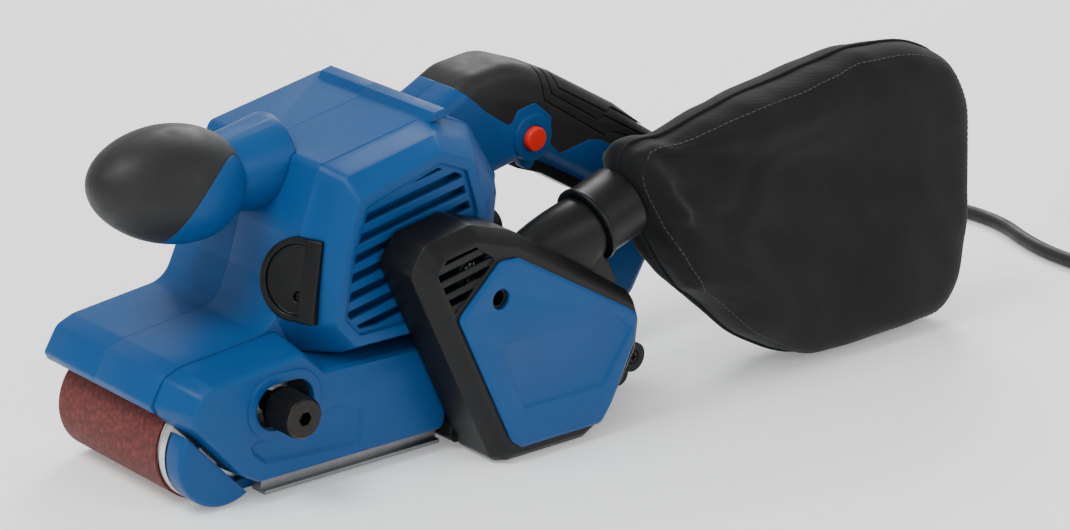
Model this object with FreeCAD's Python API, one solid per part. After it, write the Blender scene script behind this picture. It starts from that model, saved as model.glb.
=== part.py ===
"""Handheld belt sander with a transverse motor, side drive and dust bag.

Frame, in millimetres: the front of the machine points along -X, its left side along -Y and up is +Z.
The origin is the centre of the sanding face, midway between the two roller axles, so the machine
stands with the belt on z = 0.
"""
import FreeCAD, Part

import math
import os

from FreeCAD import Vector

os.makedirs("parts", exist_ok=True)

# ---------------------------------------------------------------- driving dimensions
BELT_WIDTH = 76.0
BELT_THICKNESS = 1.2
ROLLER_DIAMETER = 49.4
AXLE_SPACING = 184.0
ROLLER_CROWN = 0.5

SHELL_WALL = 3.0
SHELL_RIB = 4.0
MOTOR_X = 23.0
MOTOR_Z = 97.0
STATOR_DIAMETER = 66.0
STATOR_LENGTH = 38.0
ARMATURE_DIAMETER = 38.0
MOTOR_SHAFT_DIAMETER = 9.0
COMMUTATOR_DIAMETER = 24.0
FAN_DIAMETER = 74.0
MOTOR_BEARING = (22.0, 7.0)

FRONT_AXLE_DIAMETER = 10.0
DRIVE_SHAFT_DIAMETER = 12.0
DRIVE_BEARING = (28.0, 8.0)
IDLER_BEARING = (26.0, 8.0)
MOTOR_PULLEY_TEETH = 11
DRIVEN_PULLEY_TEETH = 33
TOOTH_PITCH = 3.0
DRIVE_BELT_WIDTH = 12.0
DRIVE_BELT_THICKNESS = 1.7

COVER_DEPTH = 29.0
COVER_WALL = 2.2
PANEL_DEPTH = 22.0
GRILLE_REACH = 24.0
HANDLE_WIDTH = 36.0
HANDLE_WALL = 2.6
GRIP_LAYER = 2.4
KNOB_LENGTH = 80.0
KNOB_WIDTH = 56.0
KNOB_HEIGHT = 54.0
BUTTON_DIAMETER = 12.0
TRIGGER_WIDTH = 17.0
TRACKING_KNOB_DIAMETER = 19.0
TRACKING_KNOB_LENGTH = 19.0
TENSION_TRAVEL = 7.0
DUCT_DIAMETER = 30.0
DUCT_WALL = 2.2
BAG_THICKNESS = 44.0
CORD_DIAMETER = 8.0

# ---------------------------------------------------------------- named clearances
BELT_GAP = 0.3
RUNNING_FIT = 0.05
SLIDING_FIT = 0.3
TOOTH_GAP = 0.35
JOIN_GAP = 0.1

# ---------------------------------------------------------------- places worked out from them
ROLLER_RADIUS = ROLLER_DIAMETER / 2
LOOP_RADIUS = ROLLER_RADIUS + BELT_GAP
BELT_OUTER_RADIUS = LOOP_RADIUS + BELT_THICKNESS
AXLE_Z = BELT_OUTER_RADIUS
FRONT_X = -AXLE_SPACING / 2
REAR_X = AXLE_SPACING / 2
BELT_EDGE = BELT_WIDTH / 2
BODY_LEFT = -BELT_EDGE - 3.0
BODY_RIGHT = BELT_EDGE + 4.0
PANEL_FACE = BODY_LEFT - PANEL_DEPTH
GRILLE_FACE = BODY_LEFT - GRILLE_REACH
COVER_BACK = GRILLE_FACE - 0.6
COVER_FACE = COVER_BACK - COVER_DEPTH
SEAM_Y = 2.0
TUNNEL_RADIUS = BELT_OUTER_RADIUS + 4.0
FLOOR_Z = AXLE_Z + TUNNEL_RADIUS + SHELL_WALL


NODES = {}
CASE_SCREWS = []


def at_front(dx, dz):
    """Point (x, z) measured from the front axle."""
    return (FRONT_X + dx, AXLE_Z + dz)


def at_rear(dx, dz):
    """Point (x, z) measured from the rear axle."""
    return (REAR_X + dx, AXLE_Z + dz)


def at_motor(dx, dz):
    """Point (x, z) measured from the motor's axis."""
    return (MOTOR_X + dx, MOTOR_Z + dz)


# ---------------------------------------------------------------- shape helpers
def inset(points, distance):
    """Move every edge of a closed (x, z) outline inwards by the distance."""
    area = sum(a[0] * b[1] - b[0] * a[1] for a, b in zip(points, points[1:] + points[:1]))
    turn = 1.0 if area > 0 else -1.0
    lines = []
    for a, b in zip(points, points[1:] + points[:1]):
        length = math.hypot(b[0] - a[0], b[1] - a[1])
        ux, uz = (b[0] - a[0]) / length, (b[1] - a[1]) / length
        lines.append((a[0] - turn * uz * distance, a[1] + turn * ux * distance, ux, uz))
    moved = []
    for before, after in zip(lines[-1:] + lines[:-1], lines):
        cross = before[2] * after[3] - before[3] * after[2]
        step = ((after[0] - before[0]) * after[3] - (after[1] - before[1]) * after[2]) / cross
        moved.append((before[0] + step * before[2], before[1] + step * before[3]))
    return moved


def outline_wire(points, y, radii):
    """Closed wire in the plane y, with each corner rounded by its own radius."""
    corners = []
    count = len(points)
    for i, (x, z) in enumerate(points):
        corner = Vector(x, y, z)
        before = Vector(points[i - 1][0], y, points[i - 1][1]) - corner
        after = Vector(points[(i + 1) % count][0], y, points[(i + 1) % count][1]) - corner
        radius = radii[i] if isinstance(radii, (list, tuple)) else radii
        half = before.getAngle(after) / 2
        reach = min(radius / math.tan(half), 0.48 * before.Length, 0.48 * after.Length)
        radius = reach * math.tan(half)
        before.normalize()
        after.normalize()
        if reach < 0.01:
            corners.append((corner, None, corner))
            continue
        middle = before + after
        middle.normalize()
        bulge = corner + middle * (radius / math.sin(half) - radius)
        corners.append((corner + before * reach, bulge, corner + after * reach))
    edges = []
    for i, (start, bulge, end) in enumerate(corners):
        if bulge is not None:
            edges.append(Part.Arc(start, bulge, end).toShape())
        following = corners[(i + 1) % count][0]
        if end.distanceToPoint(following) > 1e-4:
            edges.append(Part.makeLine(end, following))
    return Part.Wire(edges)


def prism(points, y_from, y_to, radii=0.0):
    """Outline in (x, z) with rounded corners, extruded along Y."""
    face = Part.Face(outline_wire(points, y_from, radii))
    return face.extrude(Vector(0, y_to - y_from, 0))


def taper(sections, radii=0.0):
    """Straight-sided loft through (outline, y) sections with matching corners."""
    wires = [outline_wire(points, y, radii) for points, y in sections]
    return Part.makeLoft(wires, True, True)


def block(x_from, x_to, y_from, y_to, z_from, z_to):
    """Box between two opposite corners."""
    size = (x_to - x_from, y_to - y_from, z_to - z_from)
    return Part.makeBox(size[0], size[1], size[2], Vector(x_from, y_from, z_from))


def rod_y(place, radius, y_from, y_to):
    """Round bar along Y through the (x, z) place."""
    return Part.makeCylinder(radius, y_to - y_from, Vector(place[0], y_from, place[1]), Vector(0, 1, 0))


def rod_z(x, y, radius, z_from, z_to):
    """Round bar along Z."""
    return Part.makeCylinder(radius, z_to - z_from, Vector(x, y, z_from))


def ring_y(place, outer, inner, y_from, y_to):
    """Round ring along Y through the (x, z) place."""
    return rod_y(place, outer, y_from, y_to).cut(rod_y(place, inner, y_from, y_to))


def stadium(first, second, radius_first, radius_second, y_from, y_to):
    """Convex band outline round two circles in (x, z), extruded along Y."""
    start, end = Vector(first[0], y_from, first[1]), Vector(second[0], y_from, second[1])
    along = end - start
    base = math.atan2(along.z, along.x)
    lean = math.acos((radius_first - radius_second) / along.Length)

    def rim(centre, radius, angle):
        return centre + Vector(radius * math.cos(angle), 0, radius * math.sin(angle))

    edges = [
        Part.Arc(rim(start, radius_first, base + lean), rim(start, radius_first, base + math.pi),
                 rim(start, radius_first, base - lean)).toShape(),
        Part.makeLine(rim(start, radius_first, base - lean), rim(end, radius_second, base - lean)),
        Part.Arc(rim(end, radius_second, base - lean), rim(end, radius_second, base),
                 rim(end, radius_second, base + lean)).toShape(),
        Part.makeLine(rim(end, radius_second, base + lean), rim(start, radius_first, base + lean)),
    ]
    return Part.Face(Part.Wire(edges)).extrude(Vector(0, y_to - y_from, 0))


def edges_in_plane(shape, y):
    """Edges that lie wholly in the plane y."""
    found = []
    for edge in shape.Edges:
        if abs(edge.BoundBox.YMin - y) < 1e-4 and abs(edge.BoundBox.YMax - y) < 1e-4:
            found.append(edge)
    return found


def group(shapes):
    """Separate solids kept together as one node."""
    return Part.makeCompound(shapes)


def export(name, shape):
    """Write one node, after checking that it holds valid solids."""
    if not shape.Solids or not shape.isValid():
        raise ValueError(name + " is not a valid solid")
    if len(shape.Solids) == 1:
        shape = shape.Solids[0]
    shape.exportStep("parts/" + name + ".step")
    NODES[name] = shape




# ---------------------------------------------------------------- sanding belt and rollers
FRONT_AXLE = (FRONT_X, AXLE_Z)
REAR_AXLE = (REAR_X, AXLE_Z)
ROLLER_END = BELT_EDGE - 1.0
CARRIAGE_DISC_RADIUS = LOOP_RADIUS + 0.2
ARM_THICKNESS = 4.0
ARM_GAP = 1.5
ARM_LEFT = -BELT_EDGE - ARM_GAP
ARM_RIGHT = ROLLER_END + 0.8
PIVOT_X = FRONT_X + ROLLER_RADIUS + 7.0
CROSSBAR_HALF = 4.0


def roller_blank(axle, bore):
    """Crowned roller body: thicker in the middle than at its ends."""
    ends = ROLLER_RADIUS - ROLLER_CROWN
    x, z = axle
    profile = [Vector(x, -ROLLER_END, z), Vector(x, -ROLLER_END, z + ends - 1),
               Vector(x, 1 - ROLLER_END, z + ends)]
    arc = Part.Arc(profile[2], Vector(x, 0, z + ROLLER_RADIUS),
                   Vector(x, ROLLER_END - 1, z + ends)).toShape()
    far = [Vector(x, ROLLER_END - 1, z + ends), Vector(x, ROLLER_END, z + ends - 1),
           Vector(x, ROLLER_END, z)]
    wire = Part.Wire([*Part.makePolygon(profile).Edges, arc, *Part.makePolygon(far + profile[:1]).Edges])
    solid = Part.Face(wire).revolve(Vector(x, 0, z), Vector(0, 1, 0), 360)
    return solid.cut(rod_y(axle, bore, -ROLLER_END - 1, ROLLER_END + 1))


def sanding_belt():
    outer = stadium(FRONT_AXLE, REAR_AXLE, BELT_OUTER_RADIUS, BELT_OUTER_RADIUS, -BELT_EDGE, BELT_EDGE)
    inner = stadium(FRONT_AXLE, REAR_AXLE, LOOP_RADIUS, LOOP_RADIUS, -BELT_EDGE - 1, BELT_EDGE + 1)
    export("sanding_belt", outer.cut(inner))


def front_roller():
    bore = FRONT_AXLE_DIAMETER / 2 + 4.0
    body = roller_blank(FRONT_AXLE, bore)
    seat_radius = IDLER_BEARING[0] / 2
    seats = [rod_y(FRONT_AXLE, seat_radius, ROLLER_END - IDLER_BEARING[1] - 1, ROLLER_END + 1),
             rod_y(FRONT_AXLE, seat_radius, -ROLLER_END - 1, -ROLLER_END + IDLER_BEARING[1] + 1)]
    for seat in seats:
        body = body.cut(seat)
    export("front_roller", body)
    near = ROLLER_END - 1 - IDLER_BEARING[1]
    bearings = [bearing(FRONT_AXLE, IDLER_BEARING, FRONT_AXLE_DIAMETER, side, RUNNING_FIT)
                for side in (-near - IDLER_BEARING[1], near)]
    export("front_roller_bearings", group(bearings))
    head = rod_y(FRONT_AXLE, FRONT_AXLE_DIAMETER / 2 + 3, ARM_LEFT - ARM_THICKNESS - 2.5,
                 ARM_LEFT - ARM_THICKNESS)
    shank = rod_y(FRONT_AXLE, FRONT_AXLE_DIAMETER / 2, ARM_LEFT - ARM_THICKNESS, ARM_RIGHT + ARM_THICKNESS)
    export("front_axle", head.fuse(shank).removeSplitter())


def bearing(axle, size, bore_diameter, y_from, gap):
    """Shielded ball bearing with grooved side faces, as one ring."""
    outer, width = size
    body = ring_y(axle, outer / 2, bore_diameter / 2 + gap, y_from, y_from + width)
    step = (outer - bore_diameter) / 2 * 0.22
    for face in (y_from - 1, y_from + width - 0.5):
        body = body.cut(ring_y(axle, outer / 2 - step, bore_diameter / 2 + step + gap, face, face + 1.5))
    return body


def front_carriage():
    """Fork with a round left arm that follows the belt's edge, and a plain right arm."""
    left_outer = ARM_LEFT - ARM_THICKNESS
    disc = rod_y(FRONT_AXLE, CARRIAGE_DISC_RADIUS, left_outer, ARM_LEFT)
    tab = block(PIVOT_X - 14, PIVOT_X + CROSSBAR_HALF, left_outer, ARM_LEFT, AXLE_Z - 10, AXLE_Z + 21)
    left = disc.fuse(tab)
    right = rod_y(FRONT_AXLE, 13.0, ARM_RIGHT, ARM_RIGHT + ARM_THICKNESS)
    right = right.fuse(block(FRONT_X, PIVOT_X + CROSSBAR_HALF, ARM_RIGHT, ARM_RIGHT + ARM_THICKNESS,
                             AXLE_Z - 8, AXLE_Z + 8))
    bar = block(PIVOT_X - CROSSBAR_HALF, PIVOT_X + CROSSBAR_HALF, left_outer, ARM_RIGHT + ARM_THICKNESS,
                AXLE_Z - 7, AXLE_Z + 7)
    fork = left.fuse([right, bar])
    fork = fork.cut(rod_y(FRONT_AXLE, FRONT_AXLE_DIAMETER / 2, -BELT_WIDTH, BELT_WIDTH))
    fork = fork.cut(rod_z(PIVOT_X, 0, 3.0 + RUNNING_FIT, 0, 60))
    export("front_fork", fork.removeSplitter())


# ---------------------------------------------------------------- chassis and belt tension
BOX_FRONT = PIVOT_X + 16.0
BOX_REAR = REAR_X - ROLLER_RADIUS - 5.0
PAD_THICKNESS = 3.0
PLATEN_THICKNESS = 1.5
BOX_BOTTOM = BELT_THICKNESS + PLATEN_THICKNESS + PAD_THICKNESS
BOX_TOP = AXLE_Z + 20.0
BOX_HALF = BELT_EDGE - 2.0
CHANNEL_HALF = 12.0
CHANNEL_END = BOX_FRONT + 44.0
SLIDE_HALF_HEIGHT = 11.0
LEVER_X = CHANNEL_END + 8.0
LEVER_Y = BOX_HALF - 8.0
LEVER_LENGTH = 36.0
PLATE_BACK = BODY_LEFT - 4.0
SPRING_WIRE = 2.0
SPRING_RADIUS = 7.0
SPRING_TURNS = 6


CHASSIS_SCREWS = (BOX_FRONT + 30, REAR_X - 40)
FRAME_PLATE = [
    at_front(42, -22), at_rear(18, -22), at_rear(25, -12), at_rear(25, 12), at_rear(12, 26),
    (REAR_X - 24, FLOOR_Z - 0.5), (BOX_FRONT + 14, FLOOR_Z - 0.5), (BOX_FRONT + 10, AXLE_Z + 8),
    at_front(42, -12),
]


def chassis():
    box = block(BOX_FRONT, BOX_REAR, -BOX_HALF, BOX_HALF, BOX_BOTTOM, BOX_TOP)
    channel = block(BOX_FRONT - 1, CHANNEL_END, -CHANNEL_HALF, CHANNEL_HALF,
                    AXLE_Z - SLIDE_HALF_HEIGHT - SLIDING_FIT, AXLE_Z + SLIDE_HALF_HEIGHT + SLIDING_FIT)
    pocket = block(LEVER_X + 12, BOX_REAR - 6, -BOX_HALF + 6, LEVER_Y - 16, BOX_BOTTOM + 5, BOX_TOP + 1)
    lever_bay = block(LEVER_X - 12, LEVER_X + LEVER_LENGTH + 4, LEVER_Y - 9, BOX_HALF + 1, AXLE_Z - 9,
                      AXLE_Z + 9)
    cam_way = block(CHANNEL_END - 4, LEVER_X + 9, -6, LEVER_Y, AXLE_Z - 5, AXLE_Z + 5)
    body = box.cut(channel).cut(pocket).cut(lever_bay).cut(cam_way)
    body = body.cut(rod_z(LEVER_X, LEVER_Y, 3.0, BOX_BOTTOM + 2, BOX_TOP + 1))
    plate = prism(FRAME_PLATE, PLATE_BACK, BODY_LEFT, 3.0)
    web = block(BOX_FRONT + 12, BOX_REAR, BODY_LEFT, -BOX_HALF, BOX_BOTTOM + 4, BOX_TOP)
    right_arm = rod_y(REAR_AXLE, DRIVE_BEARING[0] / 2 + 5, ROLLER_END + 0.8,
                      ROLLER_END + 0.8 + DRIVE_BEARING[1])
    right_web = block(BOX_REAR - 14, REAR_X, ROLLER_END + 0.8, ROLLER_END + 0.8 + DRIVE_BEARING[1],
                      AXLE_Z - 12, AXLE_Z + 12)
    right_root = block(BOX_REAR - 14, BOX_REAR, BOX_HALF, ROLLER_END + 0.8, AXLE_Z - 12, AXLE_Z + 12)
    left_boss = rod_y(REAR_AXLE, DRIVE_BEARING[0] / 2 + 5, PLATE_BACK - 5, BODY_LEFT)
    body = body.fuse([plate, web, right_arm, right_web, right_root, left_boss])
    body = body.cut(rod_y(REAR_AXLE, DRIVE_BEARING[0] / 2, PLATE_BACK - 6, BODY_LEFT - 1))
    body = body.cut(rod_y(REAR_AXLE, DRIVE_BEARING[0] / 2, ROLLER_END, BELT_WIDTH))
    body = body.cut(rod_y(REAR_AXLE, DRIVE_SHAFT_DIAMETER / 2 + 3, -BELT_WIDTH, BELT_WIDTH))
    for x in CHASSIS_SCREWS:
        body = body.cut(rod_z(x, PLATE_BACK / 2 + BODY_LEFT / 2, 1.6, FLOOR_Z - 12, FLOOR_Z))
    export("chassis", body.removeSplitter())
    pad = block(BOX_FRONT - 2, BOX_REAR + 2, -BOX_HALF, BOX_HALF, BOX_BOTTOM - PAD_THICKNESS, BOX_BOTTOM)
    export("platen_cushion", pad)
    front_lip = BOX_FRONT - 4
    plate = block(front_lip, BOX_REAR + 4, -BOX_HALF, BOX_HALF, BELT_THICKNESS, BOX_BOTTOM - PAD_THICKNESS)
    export("platen_plate", plate)


def tension_slide():
    """Block in the chassis channel with the fork's clevis and the tracking screw's bracket."""
    start = PIVOT_X - CROSSBAR_HALF
    rear = CHANNEL_END - 18
    height = SLIDE_HALF_HEIGHT
    bar = block(PIVOT_X + CROSSBAR_HALF + 1.5, rear, -CHANNEL_HALF + SLIDING_FIT, CHANNEL_HALF - SLIDING_FIT,
                AXLE_Z - height, AXLE_Z + height)
    cheeks = [block(start, PIVOT_X + CROSSBAR_HALF + 2, -7, 7, AXLE_Z + low, AXLE_Z + high)
              for low, high in ((-height, -7 - SLIDING_FIT), (7 + SLIDING_FIT, height))]
    body = bar.fuse(cheeks)
    body = body.cut(Part.makeCylinder(SPRING_RADIUS + SPRING_WIRE / 2 + 0.4, 21,
                                      Vector(rear - 20, 0, AXLE_Z),
                                      Vector(1, 0, 0)))
    body = body.cut(rod_z(PIVOT_X, 0, 3.0, 0, 60))
    top = AXLE_Z + height
    bracket_y = ARM_LEFT - ARM_THICKNESS - 0.8
    strap_front = PIVOT_X + CROSSBAR_HALF + 1.5
    strap = block(strap_front, strap_front + 3, bracket_y - 3, 0, top - 4, top + 10)
    ear = block(TRACKING_X - 7, strap_front + 3, bracket_y - 3, bracket_y, top - 4, TRACKING_Z + 6)
    body = body.fuse([strap, ear])
    body = body.cut(rod_y((TRACKING_X, TRACKING_Z), TRACKING_SCREW_RADIUS + RUNNING_FIT, bracket_y - 4,
                          bracket_y + 1))
    export("tension_slide", body.removeSplitter())
    export("fork_pivot_pin", rod_z(PIVOT_X, 0, 3.0, AXLE_Z - height, AXLE_Z + height))
    coil_length = 20.0 + 17.0
    pitch = (coil_length - SPRING_WIRE) / SPRING_TURNS
    helix = Part.makeHelix(pitch, pitch * SPRING_TURNS, SPRING_RADIUS)
    ring = Part.Wire(Part.makeCircle(SPRING_WIRE / 2, Vector(SPRING_RADIUS, 0, 0), Vector(0, 1, 0)))
    spring = Part.Wire(helix.Edges).makePipeShell([ring], True, True)
    spring.rotate(Vector(0, 0, 0), Vector(0, 1, 0), 90)
    spring.translate(Vector(rear - 20 + SPRING_WIRE / 2 + 0.2, 0, AXLE_Z))
    export("tension_spring", spring)


# ---------------------------------------------------------------- tracking screw and tension lever
TRACKING_X = FRONT_X + 23.0
TRACKING_Z = AXLE_Z + 20.5
TRACKING_SCREW_RADIUS = 3.0


def tracking_knob():
    """Knurled socket-head screw that leans on the fork's left arm."""
    place = (TRACKING_X, TRACKING_Z)
    head_end = PANEL_FACE - 1.0 - TRACKING_KNOB_LENGTH
    head = rod_y(place, TRACKING_KNOB_DIAMETER / 2, head_end, PANEL_FACE - 1.0)
    rim = edges_in_plane(head, head_end)
    head = head.makeChamfer(0.8, rim)
    corners = [(TRACKING_X + 3.5 * math.cos(math.radians(60 * i)),
                TRACKING_Z + 3.5 * math.sin(math.radians(60 * i)))
               for i in range(6)]
    head = head.cut(prism(corners, head_end - 1, head_end + 6))
    neck = rod_y(place, 5.0, PANEL_FACE - 1.0, PANEL_FACE + 8)
    shank = rod_y(place, TRACKING_SCREW_RADIUS, PANEL_FACE, ARM_LEFT - ARM_THICKNESS - 0.35)
    export("tracking_knob", head.fuse([neck, shank]).removeSplitter())


def tension_lever():
    """Release lever on the open side: its cam works on the slide's rear."""
    hub = rod_z(LEVER_X, LEVER_Y, 7.0, AXLE_Z - 7, AXLE_Z + 7)
    arm = block(LEVER_X, LEVER_X + LEVER_LENGTH, LEVER_Y + 1, LEVER_Y + 6, AXLE_Z - 7, AXLE_Z + 7)
    tip = block(LEVER_X + LEVER_LENGTH - 14, LEVER_X + LEVER_LENGTH, LEVER_Y + 5, LEVER_Y + 8.5, AXLE_Z - 7,
                AXLE_Z + 7)
    lever = hub.fuse([arm, tip]).cut(rod_z(LEVER_X, LEVER_Y, 3.0 + RUNNING_FIT, 0, 90))
    export("tension_lever", lever.removeSplitter())
    export("lever_pivot_pin", rod_z(LEVER_X, LEVER_Y, 3.0, BOX_BOTTOM + 2, BOX_TOP - 2))


# ---------------------------------------------------------------- drive roller, pulleys and toothed belt
MOTOR_AXIS = (MOTOR_X, MOTOR_Z)
PULLEY_RADIUS = DRIVEN_PULLEY_TEETH * TOOTH_PITCH / math.pi / 2 - 0.4
PINION_RADIUS = MOTOR_PULLEY_TEETH * TOOTH_PITCH / math.pi / 2 - 0.4
PULLEY_LEFT = COVER_BACK - 6.0 - DRIVE_BELT_WIDTH - 3.0
PULLEY_RIGHT = COVER_BACK - 6.0
PINION_BORE = 3.0
LAGGING = 3.5


def toothed_wheel(axle, radius, teeth, y_from, y_to):
    """Pulley rim with square grooves between its teeth."""
    wheel = rod_y(axle, radius, y_from, y_to)
    groove_width = TOOTH_PITCH * 0.45
    grooves = []
    for i in range(teeth):
        groove = block(axle[0] - groove_width / 2, axle[0] + groove_width / 2, y_from - 1, y_to + 1,
                       axle[1] + radius - 1.1, axle[1] + radius + 1)
        groove.rotate(Vector(axle[0], 0, axle[1]), Vector(0, 1, 0), 360 * i / teeth)
        grooves.append(groove)
    return wheel.cut(group(grooves))


def drive_roller():
    body = roller_blank(REAR_AXLE, DRIVE_SHAFT_DIAMETER / 2)
    core_radius = ROLLER_RADIUS - ROLLER_CROWN - LAGGING
    core = rod_y(REAR_AXLE, core_radius, -ROLLER_END - 1, ROLLER_END + 1)
    export("drive_roller_core", body.common(core))
    export("drive_roller_lagging", body.cut(core))
    right_end = ROLLER_END + 0.8 + DRIVE_BEARING[1]
    export("drive_shaft", rod_y(REAR_AXLE, DRIVE_SHAFT_DIAMETER / 2, PULLEY_LEFT - 4, right_end))
    bearings = [bearing(REAR_AXLE, DRIVE_BEARING, DRIVE_SHAFT_DIAMETER, y, RUNNING_FIT)
                for y in (BODY_LEFT - 1 - DRIVE_BEARING[1], ROLLER_END + 0.8)]
    export("drive_shaft_bearings", group(bearings))
    wheel = toothed_wheel(REAR_AXLE, PULLEY_RADIUS, DRIVEN_PULLEY_TEETH, PULLEY_LEFT, PULLEY_RIGHT)
    wheel = wheel.cut(rod_y(REAR_AXLE, DRIVE_SHAFT_DIAMETER / 2, PULLEY_LEFT - 1, PULLEY_RIGHT + 1))
    export("driven_pulley", wheel)
    pinion = toothed_wheel(MOTOR_AXIS, PINION_RADIUS, MOTOR_PULLEY_TEETH, PULLEY_LEFT, PULLEY_RIGHT)
    flange = rod_y(MOTOR_AXIS, PINION_RADIUS + 2.5, PULLEY_RIGHT, PULLEY_RIGHT + 1.5)
    bore = rod_y(MOTOR_AXIS, PINION_BORE, PULLEY_LEFT - 1, PULLEY_RIGHT + 3)
    export("motor_pulley", pinion.fuse(flange).cut(bore))
    belt_left = PULLEY_LEFT + 1.5
    loop = (REAR_AXLE, MOTOR_AXIS, PULLEY_RADIUS + TOOTH_GAP, PINION_RADIUS + TOOTH_GAP)
    skin = (REAR_AXLE, MOTOR_AXIS, loop[2] + DRIVE_BELT_THICKNESS, loop[3] + DRIVE_BELT_THICKNESS)
    band = stadium(*skin, belt_left, belt_left + DRIVE_BELT_WIDTH)
    export("toothed_drive_belt", band.cut(stadium(*loop, belt_left - 1, belt_left + DRIVE_BELT_WIDTH + 1)))


# ---------------------------------------------------------------- motor
BRUSH_Y = GRILLE_FACE + 24.0
COMMUTATOR_LEFT = BRUSH_Y - 7.0
COMMUTATOR_RIGHT = BRUSH_Y + 7.0
STATOR_LEFT = COMMUTATOR_RIGHT + 5.0
STATOR_RIGHT = STATOR_LEFT + STATOR_LENGTH
FAN_LEFT = BODY_RIGHT - SHELL_WALL - MOTOR_BEARING[1] - 14.0
FAN_RIGHT = FAN_LEFT + 11.0
LEFT_BEARING_Y = COMMUTATOR_LEFT - 2.0 - MOTOR_BEARING[1]
RIGHT_BEARING_Y = BODY_RIGHT - SHELL_WALL - MOTOR_BEARING[1]
SHAFT_RADIUS = MOTOR_SHAFT_DIAMETER / 2
BRUSH_SIZE = 7.0


def motor():
    shaft = rod_y(MOTOR_AXIS, SHAFT_RADIUS, LEFT_BEARING_Y, RIGHT_BEARING_Y + MOTOR_BEARING[1])
    stub = rod_y(MOTOR_AXIS, PINION_BORE, PULLEY_LEFT, LEFT_BEARING_Y)
    export("motor_shaft", shaft.fuse(stub).removeSplitter())
    core = ring_y(MOTOR_AXIS, ARMATURE_DIAMETER / 2, SHAFT_RADIUS, STATOR_LEFT, STATOR_RIGHT)
    slots = [rod_y((MOTOR_X + (ARMATURE_DIAMETER / 2 - 3) * math.cos(a),
                    MOTOR_Z + (ARMATURE_DIAMETER / 2 - 3)
                    * math.sin(a)), 2.0, STATOR_LEFT - 1, STATOR_RIGHT + 1)
             for a in (2 * math.pi * i / 12 for i in range(12))]
    export("armature_core", core.cut(group(slots)))
    windings = [ring_y(MOTOR_AXIS, ARMATURE_DIAMETER / 2 - 3, SHAFT_RADIUS, a, b)
                for a, b in ((STATOR_LEFT - 4, STATOR_LEFT), (STATOR_RIGHT, STATOR_RIGHT + 4))]
    export("armature_windings", group(windings))
    export("commutator", ring_y(MOTOR_AXIS, COMMUTATOR_DIAMETER / 2, SHAFT_RADIUS, COMMUTATOR_LEFT,
                                COMMUTATOR_RIGHT))
    bore = ARMATURE_DIAMETER / 2 + 0.6
    stack = ring_y(MOTOR_AXIS, STATOR_DIAMETER / 2, bore, STATOR_LEFT, STATOR_RIGHT)
    export("stator_core", stack)
    coils = [ring_y(MOTOR_AXIS, STATOR_DIAMETER / 2 - 3, bore + 2, a, b)
             for a, b in ((STATOR_LEFT - 4, STATOR_LEFT), (STATOR_RIGHT, STATOR_RIGHT + 4))]
    export("stator_windings", group(coils))
    bearings = [bearing(MOTOR_AXIS, MOTOR_BEARING, MOTOR_SHAFT_DIAMETER, y, RUNNING_FIT)
                for y in (LEFT_BEARING_Y, RIGHT_BEARING_Y)]
    export("motor_bearings", group(bearings))
    export("cooling_fan", fan())
    brushes, holders = [], []
    for side in (-1, 1):
        near = MOTOR_X + side * (COMMUTATOR_DIAMETER / 2 + 0.2)
        far = MOTOR_X + side * (COMMUTATOR_DIAMETER / 2 + 16)
        half = BRUSH_SIZE / 2
        span = (min(near, far), max(near, far))
        brush = block(*span, BRUSH_Y - half, BRUSH_Y + half, MOTOR_Z - half, MOTOR_Z + half)
        brushes.append(brush)
        start = MOTOR_X + side * (COMMUTATOR_DIAMETER / 2 + 2)
        end = MOTOR_X + side * (COMMUTATOR_DIAMETER / 2 + 22)
        span = (min(start, end), max(start, end))
        tube = block(*span, BRUSH_Y - half - 2, BRUSH_Y + half + 2, MOTOR_Z - half - 2, MOTOR_Z + half + 2)
        hollow = block(span[0] - 1, span[1] + 1, BRUSH_Y - half - JOIN_GAP, BRUSH_Y + half + JOIN_GAP,
                       MOTOR_Z - half - JOIN_GAP, MOTOR_Z + half + JOIN_GAP)
        holders.append(tube.cut(hollow))
    export("carbon_brushes", group(brushes))
    export("brush_holders", group(holders))


def fan():
    """Cooling fan: a disc with straight radial blades."""
    hub = ring_y(MOTOR_AXIS, SHAFT_RADIUS + 4, SHAFT_RADIUS, FAN_LEFT, FAN_RIGHT)
    disc = ring_y(MOTOR_AXIS, FAN_DIAMETER / 2, SHAFT_RADIUS, FAN_RIGHT - 2, FAN_RIGHT)
    blades = []
    for i in range(12):
        blade = block(MOTOR_X + SHAFT_RADIUS + 3, MOTOR_X + FAN_DIAMETER / 2 - 1, FAN_LEFT, FAN_RIGHT - 1,
                      MOTOR_Z - 0.8, MOTOR_Z + 0.8)
        blade.rotate(Vector(MOTOR_X, 0, MOTOR_Z), Vector(0, 1, 0), 30 * i)
        blades.append(blade)
    return hub.fuse([disc] + blades).removeSplitter()


# ---------------------------------------------------------------- blue housing
REAR_FOOT = 44.0
BODY_OUTLINE = [
    at_front(-29, 22), at_front(-31, 26), at_front(-24, 38), at_front(-15, 41.5), at_front(36, 47.5),
    at_motor(-71, -5), at_motor(-65, 17), at_motor(-53, 49), at_motor(12, 62), at_motor(34, 53),
    at_motor(52, 25), at_motor(49, -24), at_rear(-12, 41), at_rear(26, 38), at_rear(REAR_FOOT - 1, 24),
    at_rear(REAR_FOOT, 4),
]
BODY_RADII = [1.0, 2.0, 8.0, 10.0, 14.0, 5.0, 5.0, 5.0, 5.0, 5.0, 5.0, 8.0, 8.0, 8.0, 6.0, 1.0]
BAY_ROOT = [
    (MOTOR_X - 68, FLOOR_Z), at_motor(-76, -20), at_motor(-71, -5), at_motor(-65, 17), at_motor(-53, 49),
    at_motor(12, 62), at_motor(34, 53), at_motor(52, 25), (MOTOR_X + 48, FLOOR_Z),
]
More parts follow.
